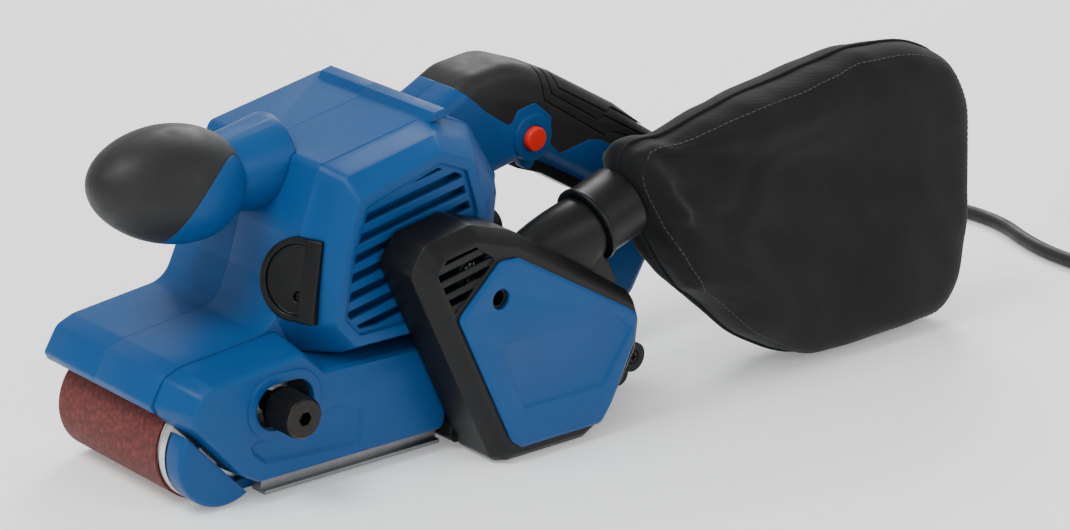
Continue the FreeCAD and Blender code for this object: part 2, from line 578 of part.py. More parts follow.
BAY_MIDDLE = [
    (MOTOR_X - 52, FLOOR_Z + 1), at_motor(-66, -21), at_motor(-64, -4), at_motor(-60, 17),
    at_motor(-50, 46.5),
    at_motor(2, 57.5), at_motor(23, 50), at_motor(40, 23), (MOTOR_X + 34, FLOOR_Z + 1),
]
BAY_FACE = [
    (MOTOR_X - 49, FLOOR_Z + 6), at_motor(-61, -19), at_motor(-59, -4), at_motor(-56, 14), at_motor(-48, 38),
    at_motor(-2, 52), at_motor(18, 44), at_motor(26, 20), (MOTOR_X + 24, FLOOR_Z + 6),
]
BAY_RADIUS = 5.0
FACET_DEPTH = 9.0
GRILLE_RECESS = 3.0
SLOT_HEIGHT = 4.2
SLOT_PITCH = 8.4
SLOT_TILT = 11.0
SCREW_RADIUS = 2.0


def upper_body(distance):
    """Housing's solid shape, with every wall moved inwards by the distance."""
    middle = prism(inset(BODY_OUTLINE, distance), BODY_LEFT + distance, BODY_RIGHT - distance, BODY_RADII)
    sections = [(inset(BAY_ROOT, distance), BODY_LEFT + 1 + distance),
                (inset(BAY_MIDDLE, distance), GRILLE_FACE + FACET_DEPTH),
                (inset(BAY_FACE, distance), GRILLE_FACE + distance * 1.6)]
    return middle.fuse(taper(sections, BAY_RADIUS))


def belt_tunnel(extra):
    """Space kept clear for the belt under the housing."""
    radius = TUNNEL_RADIUS + extra
    tunnel = stadium(FRONT_AXLE, REAR_AXLE, radius, radius, -2 * BELT_WIDTH, 2 * BELT_WIDTH)
    below = block(FRONT_X - 60, REAR_X + 80, -2 * BELT_WIDTH, BODY_LEFT, -20, FLOOR_Z + extra)
    return tunnel.fuse(below)


def slanted_slots(y_from, y_to, area, rows, pitch, height, corner):
    """Air slots between slats that rise towards the rear, trimmed to an outline."""
    slots = []
    for row in rows:
        lowest = MOTOR_Z + row * pitch
        slot = block(MOTOR_X - 90, MOTOR_X + 70, y_from, y_to, lowest, lowest + height)
        slot.rotate(Vector(MOTOR_X, 0, MOTOR_Z), Vector(0, 1, 0), -SLOT_TILT)
        slots.append(slot)
    return prism(area, y_from, y_to, corner).common(group(slots))


def housing_blank():
    """Both housing shells as one hollow body, before the seam is cut."""
    body = upper_body(0).cut(belt_tunnel(0))
    hollow = upper_body(SHELL_WALL).cut(belt_tunnel(SHELL_WALL))
    body = body.cut(hollow)
    inner = upper_body(SHELL_WALL - 0.5)
    left_web = block(-200, 200, LEFT_BEARING_Y + 0.5, LEFT_BEARING_Y + MOTOR_BEARING[1] - 0.5, FLOOR_Z, 200)
    stator_left = block(-200, 200, STATOR_LEFT + 6, STATOR_LEFT + 6 + SHELL_RIB, FLOOR_Z, 200)
    stator_right = block(-200, 200, STATOR_RIGHT - 6, STATOR_RIGHT - 6 + SHELL_RIB, FLOOR_Z, 200)
    webs = [inner.common(web) for web in (left_web, stator_left, stator_right)]
    webs[0] = webs[0].cut(rod_y(MOTOR_AXIS, MOTOR_BEARING[0] / 2, GRILLE_FACE, BODY_RIGHT))
    for i in (1, 2):
        webs[i] = webs[i].cut(rod_y(MOTOR_AXIS, STATOR_DIAMETER / 2, GRILLE_FACE, BODY_RIGHT))
    boss = ring_y(MOTOR_AXIS, MOTOR_BEARING[0] / 2 + 4, MOTOR_BEARING[0] / 2, RIGHT_BEARING_Y + 1.5,
                  BODY_RIGHT - 1)
    body = body.fuse(webs + [boss])
    body = body.cut(rod_y(MOTOR_AXIS, PINION_BORE + 1.5, GRILLE_FACE - 1, LEFT_BEARING_Y + 1))
    tower_y = (PLATE_BACK + BODY_LEFT) / 2
    for x in CHASSIS_SCREWS:
        tower = rod_z(x, tower_y, 4.5, FLOOR_Z + 1, FLOOR_Z + 12)
        body = body.fuse(tower.common(upper_body(1.0)))
        body = body.cut(rod_z(x, tower_y, SCREW_RADIUS - 0.4, FLOOR_Z - 2, FLOOR_Z + 10))
    return body


def housing_screw_places():
    """Screw positions (x, z) that clear the motor, all reached from the right side."""
    return [at_front(8, 35.5), at_motor(-44, 38), at_motor(34, 38), at_motor(38, -27), at_rear(20, 33.5)]


def housing():
    body = housing_blank()
    recess_area = inset(BAY_FACE, 5.0)
    body = body.cut(prism(recess_area, GRILLE_FACE - 1, GRILLE_FACE + GRILLE_RECESS * 0.6, 3.0))
    vents = slanted_slots(GRILLE_FACE - 1, GRILLE_FACE + SHELL_WALL * 1.6 + 1, inset(BAY_FACE, 7.5),
                          range(-4, 6), SLOT_PITCH, SLOT_HEIGHT, 3.0)
    body = body.cut(vents)
    exhaust = []
    for i in range(-3, 4):
        exhaust.append(prism([at_motor(8 * i - 2, 22), at_motor(8 * i + 2, 22), at_motor(8 * i + 2, 40),
                              at_motor(8 * i - 2, 40)], BODY_RIGHT - SHELL_WALL - 1, BODY_RIGHT + 1, 1.5))
    body = body.cut(group(exhaust))
    rib = taper([([at_motor(6, 60), at_motor(18, 62), at_motor(14, 65.5), at_motor(8, 64.2)], -48.0),
                 ([at_motor(6, 60), at_motor(18, 62), at_motor(14, 65.5), at_motor(8, 64.2)], 36.0)])
    body = body.fuse(rib.cut(upper_body(1.0)))
    body = body.cut(brush_cap_blank(JOIN_GAP))
    body = body.cut(rod_x(MOTOR_X + COMMUTATOR_DIAMETER / 2 + 24, MOTOR_X + 60, BRUSH_Y, MOTOR_Z,
                          REAR_CAP_RADIUS))
    collar = ring_x(MOTOR_X + COMMUTATOR_DIAMETER / 2 + 24, MOTOR_X + 52, BRUSH_Y, MOTOR_Z,
                    REAR_CAP_RADIUS + 3,
                    REAR_CAP_RADIUS)
    body = body.fuse(collar.common(upper_body(1.0)))
    screws, posts, holes = [], [], []
    for place in housing_screw_places():
        posts.append(rod_y(place, 5.0, SEAM_Y - 14, BODY_RIGHT - 1))
        holes.append(rod_y(place, SCREW_RADIUS, SEAM_Y - 12, BODY_RIGHT + 1))
        holes.append(rod_y(place, 3.6, BODY_RIGHT - 3.4, BODY_RIGHT + 1))
        shank = rod_y(place, SCREW_RADIUS, SEAM_Y - 12, BODY_RIGHT - 3.4)
        screws.append(shank.fuse(screw_head(place, 3.5, BODY_RIGHT - 3.4, 2.2)))
    keep = upper_body(1.0).cut(belt_tunnel(1.0))
    posts = [post.common(keep) for post in posts]
    body = body.fuse(posts).cut(group(holes))
    left_half = block(-300, 300, -200, SEAM_Y, -100, 300)
    right_half = block(-300, 300, SEAM_Y, 200, -100, 300)
    export("housing_left", main_solid(body.common(left_half)))
    export("housing_right", main_solid(body.common(right_half)))
    CASE_SCREWS.extend(screws)


def main_solid(shape):
    """Largest solid of a cut body."""
    return max(shape.Solids, key=lambda solid: solid.Volume)


def rod_x(x_from, x_to, y, z, radius):
    """Round bar along X."""
    return Part.makeCylinder(radius, x_to - x_from, Vector(x_from, y, z), Vector(1, 0, 0))


def ring_x(x_from, x_to, y, z, outer, inner):
    """Round ring along X."""
    return rod_x(x_from, x_to, y, z, outer).cut(rod_x(x_from - 1, x_to + 1, y, z, inner))


def screw_head(place, radius, y_from, height):
    """Pan head with a cross recess, facing +Y."""
    head = rod_y(place, radius, y_from, y_from + height)
    head = head.makeFillet(min(0.8, height / 2), edges_in_plane(head, y_from + height))
    for size in ((0.5, 2.0), (2.0, 0.5)):
        x, z = place
        head = head.cut(block(x - size[0], x + size[0], y_from + height - 1.2, y_from + height + 1,
                              z - size[1], z + size[1]))
    return head


# ---------------------------------------------------------------- brush caps
CAP_CENTRE = Vector(MOTOR_X - 69.0, BODY_LEFT - 1.0, MOTOR_Z - 1.0)
CAP_ALONG = Vector(8, -17, 0)
CAP_UP = Vector(6, 0, 22)
CAP_WIDTH = 30.0
CAP_HEIGHT = 38.0
CAP_DEPTH = 9.0
CAP_RIM = 2.0
REAR_CAP_RADIUS = 8.0


def cap_profile(grow):
    """D outline in its own plane: round towards the nose, straight at the outer corner."""
    half = CAP_HEIGHT / 2 + grow
    flat = CAP_WIDTH / 2 + grow
    bend = half * 0.8
    points = [Vector(flat, half, 0), Vector(bend - flat, half, 0), Vector(-flat, 0, 0),
              Vector(bend - flat, -half, 0),
              Vector(flat, -half, 0)]
    edges = [Part.makeLine(points[0], points[1]), Part.Arc(points[1], points[2], points[3]).toShape(),
             Part.makeLine(points[3], points[4]), Part.makeLine(points[4], points[0])]
    return Part.Face(Part.Wire(edges))


def place_on_wall(shape):
    """Move a shape drawn in the XY plane onto the slanted wall that carries the front brush cap."""
    along = Vector(CAP_ALONG).normalize()
    up = Vector(CAP_UP).normalize()
    out = up.cross(along).normalize()
    if out.x > 0:
        out = out * -1
    up = (up - along * up.dot(along)).normalize()
    matrix = FreeCAD.Matrix(along.x, up.x, out.x, CAP_CENTRE.x, along.y, up.y, out.y, CAP_CENTRE.y,
                            along.z, up.z, out.z, CAP_CENTRE.z, 0, 0, 0, 1)
    return shape.transformGeometry(matrix)


def brush_cap_blank(grow):
    blank = cap_profile(grow).extrude(Vector(0, 0, CAP_DEPTH + 6))
    return place_on_wall(blank.translated(Vector(0, 0, -CAP_DEPTH)))


def brush_caps():
    body = cap_profile(0).extrude(Vector(0, 0, CAP_DEPTH + CAP_RIM)).translated(Vector(0, 0, -CAP_DEPTH))
    lid = cap_profile(-3.0).extrude(Vector(0, 0, 6)).translated(Vector(0, 0, CAP_RIM - 2.6))
    bar = Part.makeBox(8, CAP_HEIGHT, CAP_RIM + 3.0, Vector(CAP_WIDTH / 2 - 8, -CAP_HEIGHT / 2, -1))
    body = body.cut(lid).fuse(bar)
    hole = Part.makeCylinder(2.2, 5, Vector(CAP_WIDTH / 2 - 11, -8, -4))
    body = body.cut(hole)
    export("brush_cap_front", place_on_wall(body))
    screw = Part.makeCylinder(2.1, 1.6, Vector(CAP_WIDTH / 2 - 11, -8, -4))
    screw = screw.cut(Part.makeBox(3.4, 0.8, 1, Vector(CAP_WIDTH / 2 - 12.7, -8.4, -3.2)))
    CASE_SCREWS.append(place_on_wall(screw))
    start = MOTOR_X + COMMUTATOR_DIAMETER / 2 + 24
    cap = rod_x(start, MOTOR_X + 51, BRUSH_Y, MOTOR_Z, REAR_CAP_RADIUS - JOIN_GAP)
    slot = block(MOTOR_X + 49, MOTOR_X + 60, BRUSH_Y - 6, BRUSH_Y + 6, MOTOR_Z - 1, MOTOR_Z + 1)
    export("brush_cap_rear", cap.cut(slot))


# ---------------------------------------------------------------- left side panel and roller guard
GAP_LOW = at_front(5, -12)
GAP_HIGH = at_front(-26.5, 20.5)
PANEL_TOP = FLOOR_Z - 1.0
PANEL_END = REAR_X - 62.0
PANEL_ROOT = [
    GAP_HIGH, at_front(-30, 26), at_front(-23.5, 37.5), at_front(-15, 41), at_front(38, 46),
    at_front(50, 34),
    (PANEL_END, PANEL_TOP), (PANEL_END, AXLE_Z - 16), at_front(13, -16), GAP_LOW,
]
PANEL_CREASE = [
    at_front(-22.5, 20), at_front(-23, 26), at_front(-19, 34), at_front(-12, 37), at_front(38, 42),
    at_front(50, 31),
    (PANEL_END, PANEL_TOP - 3), (PANEL_END, AXLE_Z - 15), at_front(14, -15), at_front(5, -10),
]
PANEL_POCKET = [
    at_front(6, 6), at_front(9, -1), at_front(16, -7), at_front(72, -11), at_front(74, 8), at_front(56, 14),
    at_front(40, 10),
]
GUARD_BACK = PLATE_BACK
GUARD_FACE = PLATE_BACK - 11.0
SLOT_HALF_LENGTH = 16.0
SLOT_HALF_HEIGHT = 11.0
STRIP_THICKNESS = 2.0


def pill(place, half_length, half_height, y_from, y_to):
    """Round-ended bar, longer along X."""
    reach = half_length - half_height
    ends = ((place[0] - reach, place[1]), (place[0] + reach, place[1]))
    return stadium(ends[0], ends[1], half_height, half_height, y_from, y_to)


def side_panel_blank(distance):
    """Panel's solid shape from the belt's edge out to its face, moved inwards by the distance."""
    sections = [(inset(PANEL_ROOT, distance), BODY_LEFT - 0.2),
                (inset(PANEL_CREASE, distance), PANEL_FACE + 2 + distance),
                (inset(PANEL_CREASE, distance + 1.5), PANEL_FACE + distance)]
    return taper(sections, 4.0)


def side_panel():
    body = side_panel_blank(0)
    hollow = side_panel_blank(SHELL_WALL).fuse(
        prism(inset(PANEL_ROOT, SHELL_WALL), BODY_LEFT - 2.0, BODY_LEFT + 1, 3.0))
    rear_open = block(PANEL_END - SHELL_WALL - 1, PANEL_END + 1, PANEL_FACE + SHELL_WALL, BODY_LEFT + 1,
                      AXLE_Z - 13, PANEL_TOP - 6)
    body = body.cut(hollow).cut(rear_open)
    knob = (TRACKING_X + TENSION_TRAVEL / 2, TRACKING_Z)
    rim = pill(knob, SLOT_HALF_LENGTH + 4.5, SLOT_HALF_HEIGHT + 4.5, PANEL_FACE - 1.2,
               PANEL_FACE + SHELL_WALL)
    well = pill(knob, SLOT_HALF_LENGTH, SLOT_HALF_HEIGHT, PANEL_FACE - 3, PANEL_FACE + SHELL_WALL + 3)
    body = body.fuse(rim).cut(well)
    pocket = taper([(PANEL_POCKET, PANEL_FACE - 0.5), (inset(PANEL_POCKET, 2.6), PANEL_FACE + 1.5)], 3.0)
    body = body.cut(pocket.cut(pill(knob, SLOT_HALF_LENGTH + 5.5, SLOT_HALF_HEIGHT + 5.5, PANEL_FACE - 3,
                                    PANEL_FACE + SHELL_WALL)))
    plate_room = prism(inset(FRAME_PLATE, -0.5), PLATE_BACK - JOIN_GAP, BODY_LEFT + 1, 3.0)
    axle_room = stadium(FRONT_AXLE, (FRONT_X + TENSION_TRAVEL, AXLE_Z), 9.5, 9.5, PLATE_BACK - 3.5,
                        BODY_LEFT + 1)
    arm_room = stadium(FRONT_AXLE, (FRONT_X + TENSION_TRAVEL, AXLE_Z), CARRIAGE_DISC_RADIUS + 1.2,
                       CARRIAGE_DISC_RADIUS + 1.2, PLATE_BACK - JOIN_GAP, BODY_LEFT + 1)
    body = body.cut(plate_room).cut(arm_room).cut(axle_room).cut(guard_blank(1.2)).cut(upper_body(-0.2))
    export("side_panel", main_solid(body))
    strip = block(FRONT_X + 20, PANEL_END, PANEL_FACE + 5, PLATE_BACK - 3.2,
                  AXLE_Z - 16 - STRIP_THICKNESS - 6,
                  AXLE_Z - 16 - 6)
    foot = block(FRONT_X + 20, PANEL_END, PANEL_FACE + 8, PLATE_BACK - 3.2, AXLE_Z - 22, AXLE_Z - 16)
    strip = strip.fuse(foot).removeSplitter()
    export("edge_strip", strip.makeFillet(0.6, strip.Edges[:1]))


def guard_blank(grow):
    """Disc segment over the front axle's left end, grown by a gap, with its tail to the chassis."""
    disc = rod_y(FRONT_AXLE, BELT_OUTER_RADIUS - 1.0 + grow, GUARD_FACE - grow, GUARD_BACK + grow)
    shift = 1.6 - grow
    low = (GAP_LOW[0] - 0.7 * shift, GAP_LOW[1] - 0.7 * shift)
    high = (GAP_HIGH[0] - 0.7 * shift, GAP_HIGH[1] - 0.7 * shift)
    along = ((high[0] - low[0]), (high[1] - low[1]))
    side = [(low[0] - 2 * along[0], low[1] - 2 * along[1]), (high[0] + 2 * along[0], high[1] + 2 * along[1]),
            (high[0] + 2 * along[0] - 90, high[1] + 2 * along[1] - 90), (low[0] - 2 * along[0] - 90,
                                                                         low[1] - 2 * along[1] - 90)]
    segment = disc.common(prism(side, GUARD_FACE - 9, GUARD_BACK + 9))
    tail = block(FRONT_X, BOX_FRONT + 24, PLATE_BACK - 2.6 - grow, PLATE_BACK + grow, AXLE_Z - 23 - grow,
                 AXLE_Z - 18 + grow)
    return segment.fuse(tail)


def roller_guard():
    body = guard_blank(0)
    core = rod_y(FRONT_AXLE, BELT_OUTER_RADIUS - 4.5, GUARD_FACE + 3, GUARD_BACK + 1)
    body = body.cut(core)
    body = body.cut(rod_y(FRONT_AXLE, 14, GUARD_BACK - 4, GUARD_BACK + 1))
    edge = [e for e in edges_in_plane(body, GUARD_FACE) if e.Curve.TypeId == "Part::GeomCircle"]
    export("roller_guard", main_solid(body.makeFillet(3.0, edge)))


# ---------------------------------------------------------------- drive cover
COVER_OUTLINE = [
    (REAR_X - 55, 0.6), (REAR_X - 2, 0.6), at_rear(14, -17), at_rear(31, 13), at_rear(32.5, 28),
    at_rear(28, 41),
    (MOTOR_X + 22, MOTOR_Z + 16), (MOTOR_X - 3, MOTOR_Z + 24), (MOTOR_X - 29, MOTOR_Z + 19.5),
    (MOTOR_X - 38, MOTOR_Z + 7),
]
COVER_FRONT = [
    (REAR_X - 53, 1.8), (REAR_X - 2, 1.8), at_rear(12.8, -16), at_rear(29.2, 13), at_rear(30.5, 28),
    at_rear(26.5, 39),
    (MOTOR_X + 21, MOTOR_Z + 13), (MOTOR_X - 3, MOTOR_Z + 20.5), (MOTOR_X - 25.5, MOTOR_Z + 16),
    (MOTOR_X - 32, MOTOR_Z + 6),
]
PANEL_SHAPE = [
    (REAR_X - 50, 12.5), (REAR_X - 44, 8.0), (REAR_X + 6, 8.0), at_rear(12.5, -9), at_rear(25, 18),
    at_rear(26.5, 32),
    at_rear(21, 36.5), (MOTOR_X + 20, MOTOR_Z + 5.5), (MOTOR_X + 9, MOTOR_Z + 6),
    (MOTOR_X - 15, MOTOR_Z - 17),
]
PANEL_RECESS = [
    at_motor(7, -33), (REAR_X + 12, 62.3), at_rear(24, 26.5), at_rear(6.5, 0.3), (REAR_X - 44.5, 27.0),
]
PANEL_RAISE = 2.2
COVER_SCREWS = [at_motor(9, -12)]
EAR_CENTRE = at_rear(51, -4)
COVER_PITCH = 7.0
VENT_RECESS = 1.1
EAR_RADIUS = 7.5


def cover_blank(distance):
    """Drive cover's solid shape, moved inwards by the distance."""
    sections = [(inset(COVER_OUTLINE, distance), COVER_BACK),
                (inset(COVER_OUTLINE, distance), COVER_FACE + 7),
                (inset(COVER_FRONT, distance), COVER_FACE + 2.5),
                (inset(COVER_FRONT, distance + 3), COVER_FACE + distance)]
    return taper(sections, 7.0)


def flank_blank(distance):
    """Black flank behind the side panel that carries the cover and reaches back to the screw ear."""
    flank = prism(inset([(PANEL_END + 0.4, 4.0), (REAR_X + 40, 4.0), at_rear(47, -8), at_rear(45, 12),
                         at_rear(30, 36),
                         (MOTOR_X + 46, FLOOR_Z - 1), (PANEL_END + 0.4, FLOOR_Z - 1)], distance),
                  COVER_BACK - 0.01, PLATE_BACK - JOIN_GAP - distance, 4.0)
    return flank


def drive_cover():
    body = cover_blank(0).cut(cover_blank(COVER_WALL))
    flank = flank_blank(0).cut(flank_blank(COVER_WALL).translated(Vector(0, -COVER_WALL, 0)))
    ear = rod_y(EAR_CENTRE, EAR_RADIUS, COVER_BACK - 3, PLATE_BACK - 6)
    lobe = rod_y(at_rear(44, -12), 6.0, COVER_BACK - 1, PLATE_BACK - 6)
    body = body.fuse([flank, ear, lobe])
    body = body.cut(block(PANEL_END + 3.5, REAR_X + 40, COVER_FACE + 8, PLATE_BACK, AXLE_Z - 16, FLOOR_Z - 5)
                    .common(cover_blank(COVER_WALL).fuse(flank_blank(COVER_WALL))))
    body = body.cut(rod_y(REAR_AXLE, DRIVE_BEARING[0] / 2 + 6, COVER_BACK - 1, BODY_LEFT))
    vent_area = [at_motor(-27, 6), at_motor(-22, 12.5), at_motor(-5, 15.5), at_motor(7, 7),
                 at_motor(-16, -15)]
    vent = slanted_slots(COVER_FACE - 1, COVER_FACE + COVER_WALL + 2, vent_area, range(-3, 4), COVER_PITCH,
                         COVER_PITCH / 2, 2.0)
    frame = prism(vent_area, COVER_FACE - 1, COVER_FACE + VENT_RECESS, 2.0)
    body = body.cut(frame).cut(vent)
    places = COVER_SCREWS + [EAR_CENTRE]
    posts, screws, holes = [], [], []
    for place in COVER_SCREWS:
        post = rod_y(place, 4.2, COVER_FACE + 2, COVER_BACK)
        posts.append(post.common(cover_blank(1.0)))
    body = body.fuse(posts)
    for place in places:
        face = COVER_FACE + 7.0 if place != EAR_CENTRE else COVER_BACK - 3
        end = COVER_BACK - 2 if place != EAR_CENTRE else PLATE_BACK - 6
        holes.append(rod_y(place, SCREW_RADIUS, face - 1, end))
        shank = rod_y(place, SCREW_RADIUS, face + 2.0, end)
        head = screw_head(place, 3.4, 0, 2.0)
        head.rotate(Vector(place[0], 0, place[1]), Vector(1, 0, 0), 180)
        head.translate(Vector(0, face + 2.0, 0))
        holes.append(rod_y(place, 3.5, face - 9, face + 2.0))
        screws.append(shank.fuse(head).removeSplitter())
    body = body.cut(group(holes))
    export("drive_cover_base", main_solid(body))
    export("drive_cover_screws", group(screws))
    sections = [(PANEL_SHAPE, COVER_FACE), (PANEL_SHAPE, COVER_FACE - PANEL_RAISE + 1.0),
                (inset(PANEL_SHAPE, 1.6), COVER_FACE - PANEL_RAISE)]
    panel = taper(sections, 4.0)
    panel = panel.cut(taper([(PANEL_RECESS, COVER_FACE - PANEL_RAISE - 0.4),
                             (inset(PANEL_RECESS, 1.8), COVER_FACE
                             - PANEL_RAISE + 1.1)], 2.0))
    for place in COVER_SCREWS:
        panel = panel.cut(rod_y(place, 5.0, COVER_FACE - 9, COVER_FACE + 1))
    export("drive_cover_panel", main_solid(panel))


# ---------------------------------------------------------------- dust duct, collar and bag
PORT_Y = GRILLE_FACE - 5.0
PORT_CENTRE = Vector(MOTOR_X + 83.0, PORT_Y, MOTOR_Z + 0.5)
PORT_TILT = 20.0
COLLAR_LENGTH = 24.0
COLLAR_WALL = 3.0
SPIGOT_LENGTH = 18.0
SPIGOT_SHOULDER = 0.8


def port_direction():
    return Vector(math.cos(math.radians(PORT_TILT)), 0, math.sin(math.radians(PORT_TILT)))


def port_tube(outer, inner, start, end):
    """Round tube on the port's axis between two distances from the port's centre."""
    axis = port_direction()
    tube = Part.makeCylinder(outer, end - start, PORT_CENTRE + axis * start, axis)
    if inner > 0:
        tube = tube.cut(Part.makeCylinder(inner, end - start + 2, PORT_CENTRE + axis * (start - 1), axis))
    return tube


def oval_wire(centre, direction, half_wide, half_tall):
    """Ellipse across a direction that lies in the XZ plane."""
    side = Vector(0, 1, 0)
    up = direction.cross(side) * -1
    if half_wide >= half_tall:
        curve = Part.Ellipse(centre + side * half_wide, centre + up * half_tall, centre)
    else:
        curve = Part.Ellipse(centre + up * half_tall, centre + side * half_wide, centre)
    return Part.Wire(curve.toShape())


def horn(shrink):
    """Curved body of the duct, from the machine's back to the port."""
    radius = DUCT_DIAMETER / 2 + SPIGOT_SHOULDER - shrink
    axis = port_direction()
    stations = [(Vector(MOTOR_X + 60, PORT_Y + 2, MOTOR_Z - 20), Vector(0.5, 0, 0.87), 14 - shrink,
                 33 - shrink),
                (Vector(MOTOR_X + 69, PORT_Y + 1, MOTOR_Z - 9), Vector(0.75, 0, 0.66), 15 - shrink,
                 23 - shrink),
                (PORT_CENTRE, axis, radius, radius + 0.02)]
    wires = [oval_wire(centre, direction.normalize(), wide, tall) for centre, direction, wide,
             tall in stations]
    return Part.makeLoft(wires, True, False)


def dust_duct():
    foot_outline = [at_rear(-22, 40), at_rear(24, 38), at_rear(27, 44), at_rear(16, 66), at_rear(-6, 62)]
    foot = prism(foot_outline, PORT_Y - 10, PORT_Y + 12, 5.0)
    collar_room = port_tube(DUCT_DIAMETER / 2 + COLLAR_WALL + 2, 0, 0.2, COLLAR_LENGTH + 2)
    inboard = block(-200, 300, BODY_LEFT - 1, 200, -10, 300)
    body = horn(0).fuse(foot)
    for shape in (inboard, cover_blank(-0.15), upper_body(-0.15), flank_blank(-0.15), collar_room):
        body = body.cut(shape)
    body = body.fuse(port_tube(DUCT_DIAMETER / 2, 0, -3.0, SPIGOT_LENGTH))
    hollow = horn(DUCT_WALL).fuse(port_tube(DUCT_DIAMETER / 2 - DUCT_WALL, 0, -2, SPIGOT_LENGTH + 1))
    hollow = hollow.fuse(prism(inset(foot_outline, DUCT_WALL), PORT_Y - 10 + DUCT_WALL,
                               PORT_Y + 12 - DUCT_WALL, 3.0))
    body = body.cut(hollow)
    export("dust_duct", main_solid(body))
    collar = port_tube(DUCT_DIAMETER / 2 + COLLAR_WALL, DUCT_DIAMETER / 2 + RUNNING_FIT, 0.4, COLLAR_LENGTH)
    lip = port_tube(DUCT_DIAMETER / 2 + COLLAR_WALL + 1.0, DUCT_DIAMETER / 2 + COLLAR_WALL - 0.5, 0.4, 3.0)
    export("bag_collar", collar.fuse(lip).removeSplitter())


BAG_OUTLINE = [
    (119, 128), (138, 140), (189, 152), (236, 160.5), (280, 167), (320, 165), (346, 154), (362, 128),
    (370, 95), (371, 60), (368, 26), (357, 8), (307, 3.5), (262, 2.5), (243, 8), (212, 28), (183, 50),
    (150, 73), (141, 90),
]
BAG_RADII = [8, 20, 60, 80, 40, 24, 20, 30, 60, 60, 20, 12, 40, 20, 20, 60, 60, 30, 8]


def dust_bag():
    """Plain filled shape of the fabric bag, thinner at its mouth."""
    shift = PORT_CENTRE.x - (MOTOR_X + 83.0)
    outline = [(x + shift, z) for x, z in BAG_OUTLINE]
    half = BAG_THICKNESS / 2
    sections = [(inset(outline, 9), PORT_Y - 2 - half), (outline, PORT_Y - 2 - half / 2),
                (outline, PORT_Y - 2 + half / 2),
                (inset(outline, 9), PORT_Y - 2 + half)]
    body = taper(sections, BAG_RADII)
    room = port_tube(DUCT_DIAMETER / 2 + COLLAR_WALL, 0, -60, COLLAR_LENGTH)
    gap = port_tube(DUCT_DIAMETER / 2 + COLLAR_WALL + 30, 0, -60, COLLAR_LENGTH - 12)
    export("dust_bag", main_solid(body.cut(room).cut(gap)))


# ---------------------------------------------------------------- front knob
KNOB_CENTRE = Vector(FRONT_X + 7.0, 0.0, MOTOR_Z + 40.0)
KNOB_PATCH_TILT = 50.0
KNOB_TILT = 9.0
KNOB_EGG = 0.12


def egg(shrink):
    """Egg-shaped knob, blunter towards the machine, with its nose tipped up."""
    stations = [math.pi * i / 12 for i in range(13)]
    profile = [Vector(-math.cos(t), math.sin(t) * (1 - KNOB_EGG * math.cos(t)), 0) for t in stations]
    curve = Part.BSplineCurve()
    curve.interpolate(Points=profile, InitialTangent=Vector(0, 1, 0), FinalTangent=Vector(0, -1, 0))
    half = Part.Face(Part.Wire([curve.toShape(), Part.makeLine(profile[-1], profile[0])]))
    body = half.revolve(Vector(0, 0, 0), Vector(1, 0, 0), 360)
    matrix = FreeCAD.Matrix()
    matrix.scale(KNOB_LENGTH / 2 - shrink, KNOB_WIDTH / 2 - shrink, KNOB_HEIGHT / 2 - shrink)
    body = Part.Solid(body.transformGeometry(matrix).Shells[0])
    body.rotate(Vector(0, 0, 0), Vector(0, 1, 0), KNOB_TILT)
    body.translate(KNOB_CENTRE)
    return body


def knob_patch(grow):
    """Oval bar along Y whose ends show through the grip as coloured patches."""
    centre = KNOB_CENTRE + Vector(11.0, -60, -9.0)
    long_axis = Vector(math.cos(math.radians(KNOB_PATCH_TILT)), 0, math.sin(math.radians(KNOB_PATCH_TILT)))
    cross = Vector(-long_axis.z, 0, long_axis.x)
    curve = Part.Ellipse(centre + long_axis * (27 + grow), centre + cross * (14 + grow), centre)
    return Part.Face(Part.Wire(curve.toShape())).extrude(Vector(0, 120, 0))


def front_knob():
    neck_start = KNOB_CENTRE + Vector(12, 0, -1)
    neck = Part.makeCone(15.0, 23.0, 46.0, neck_start, Vector(1, 0, 0.02))
    inner = egg(GRIP_LAYER)
    outer = egg(0)
    sleeve = Part.makeCone(16.0, 24.0, 46.0, neck_start + Vector(2, 0, 0), Vector(1, 0, 0.02))
    patch = outer.common(knob_patch(0))
    wall = upper_body(0)
    core = inner.fuse([patch, neck]).cut(wall)
    export("knob_core", main_solid(core))
    rear_plane = block(KNOB_CENTRE.x + 30.0, KNOB_CENTRE.x + 90, -60, 60, 60, 220)
    grip = outer.cut(inner).cut(knob_patch(JOIN_GAP)).cut(sleeve).cut(rear_plane).cut(neck)
    left = grip.common(block(-300, 300, -200, -JOIN_GAP / 2, 0, 300))
    right = grip.common(block(-300, 300, JOIN_GAP / 2, 200, 0, 300))
    export("knob_grip_left", main_solid(left))
    export("knob_grip_right", main_solid(right))


# ---------------------------------------------------------------- rear handle, trigger and lock button
HANDLE_OUTLINE = [
    (MOTOR_X + 22, 128), (MOTOR_X + 30, 148), (MOTOR_X + 42, 153.5), (MOTOR_X + 58, 162),
    (MOTOR_X + 82, 165),
    (MOTOR_X + 108, 156), (MOTOR_X + 153, 131), (MOTOR_X + 181, 111), (MOTOR_X + 205, 92),
    (MOTOR_X + 207, 82),
    (MOTOR_X + 181, 50), (MOTOR_X + 169, 29), (MOTOR_X + 162, 24), (REAR_X + REAR_FOOT - 8, 24),
    (REAR_X + REAR_FOOT - 8, 60), (MOTOR_X + 141, 60), (MOTOR_X + 152, 64), (MOTOR_X + 172, 72),
    (MOTOR_X + 128, 98),
    (MOTOR_X + 96, 115), (MOTOR_X + 74, 110), (MOTOR_X + 50, 108),
]
HANDLE_RADII = [1, 6, 12, 20, 26, 24, 40, 40, 12, 14, 20, 10, 6, 1, 8, 8, 10, 10, 16, 10, 12, 6]
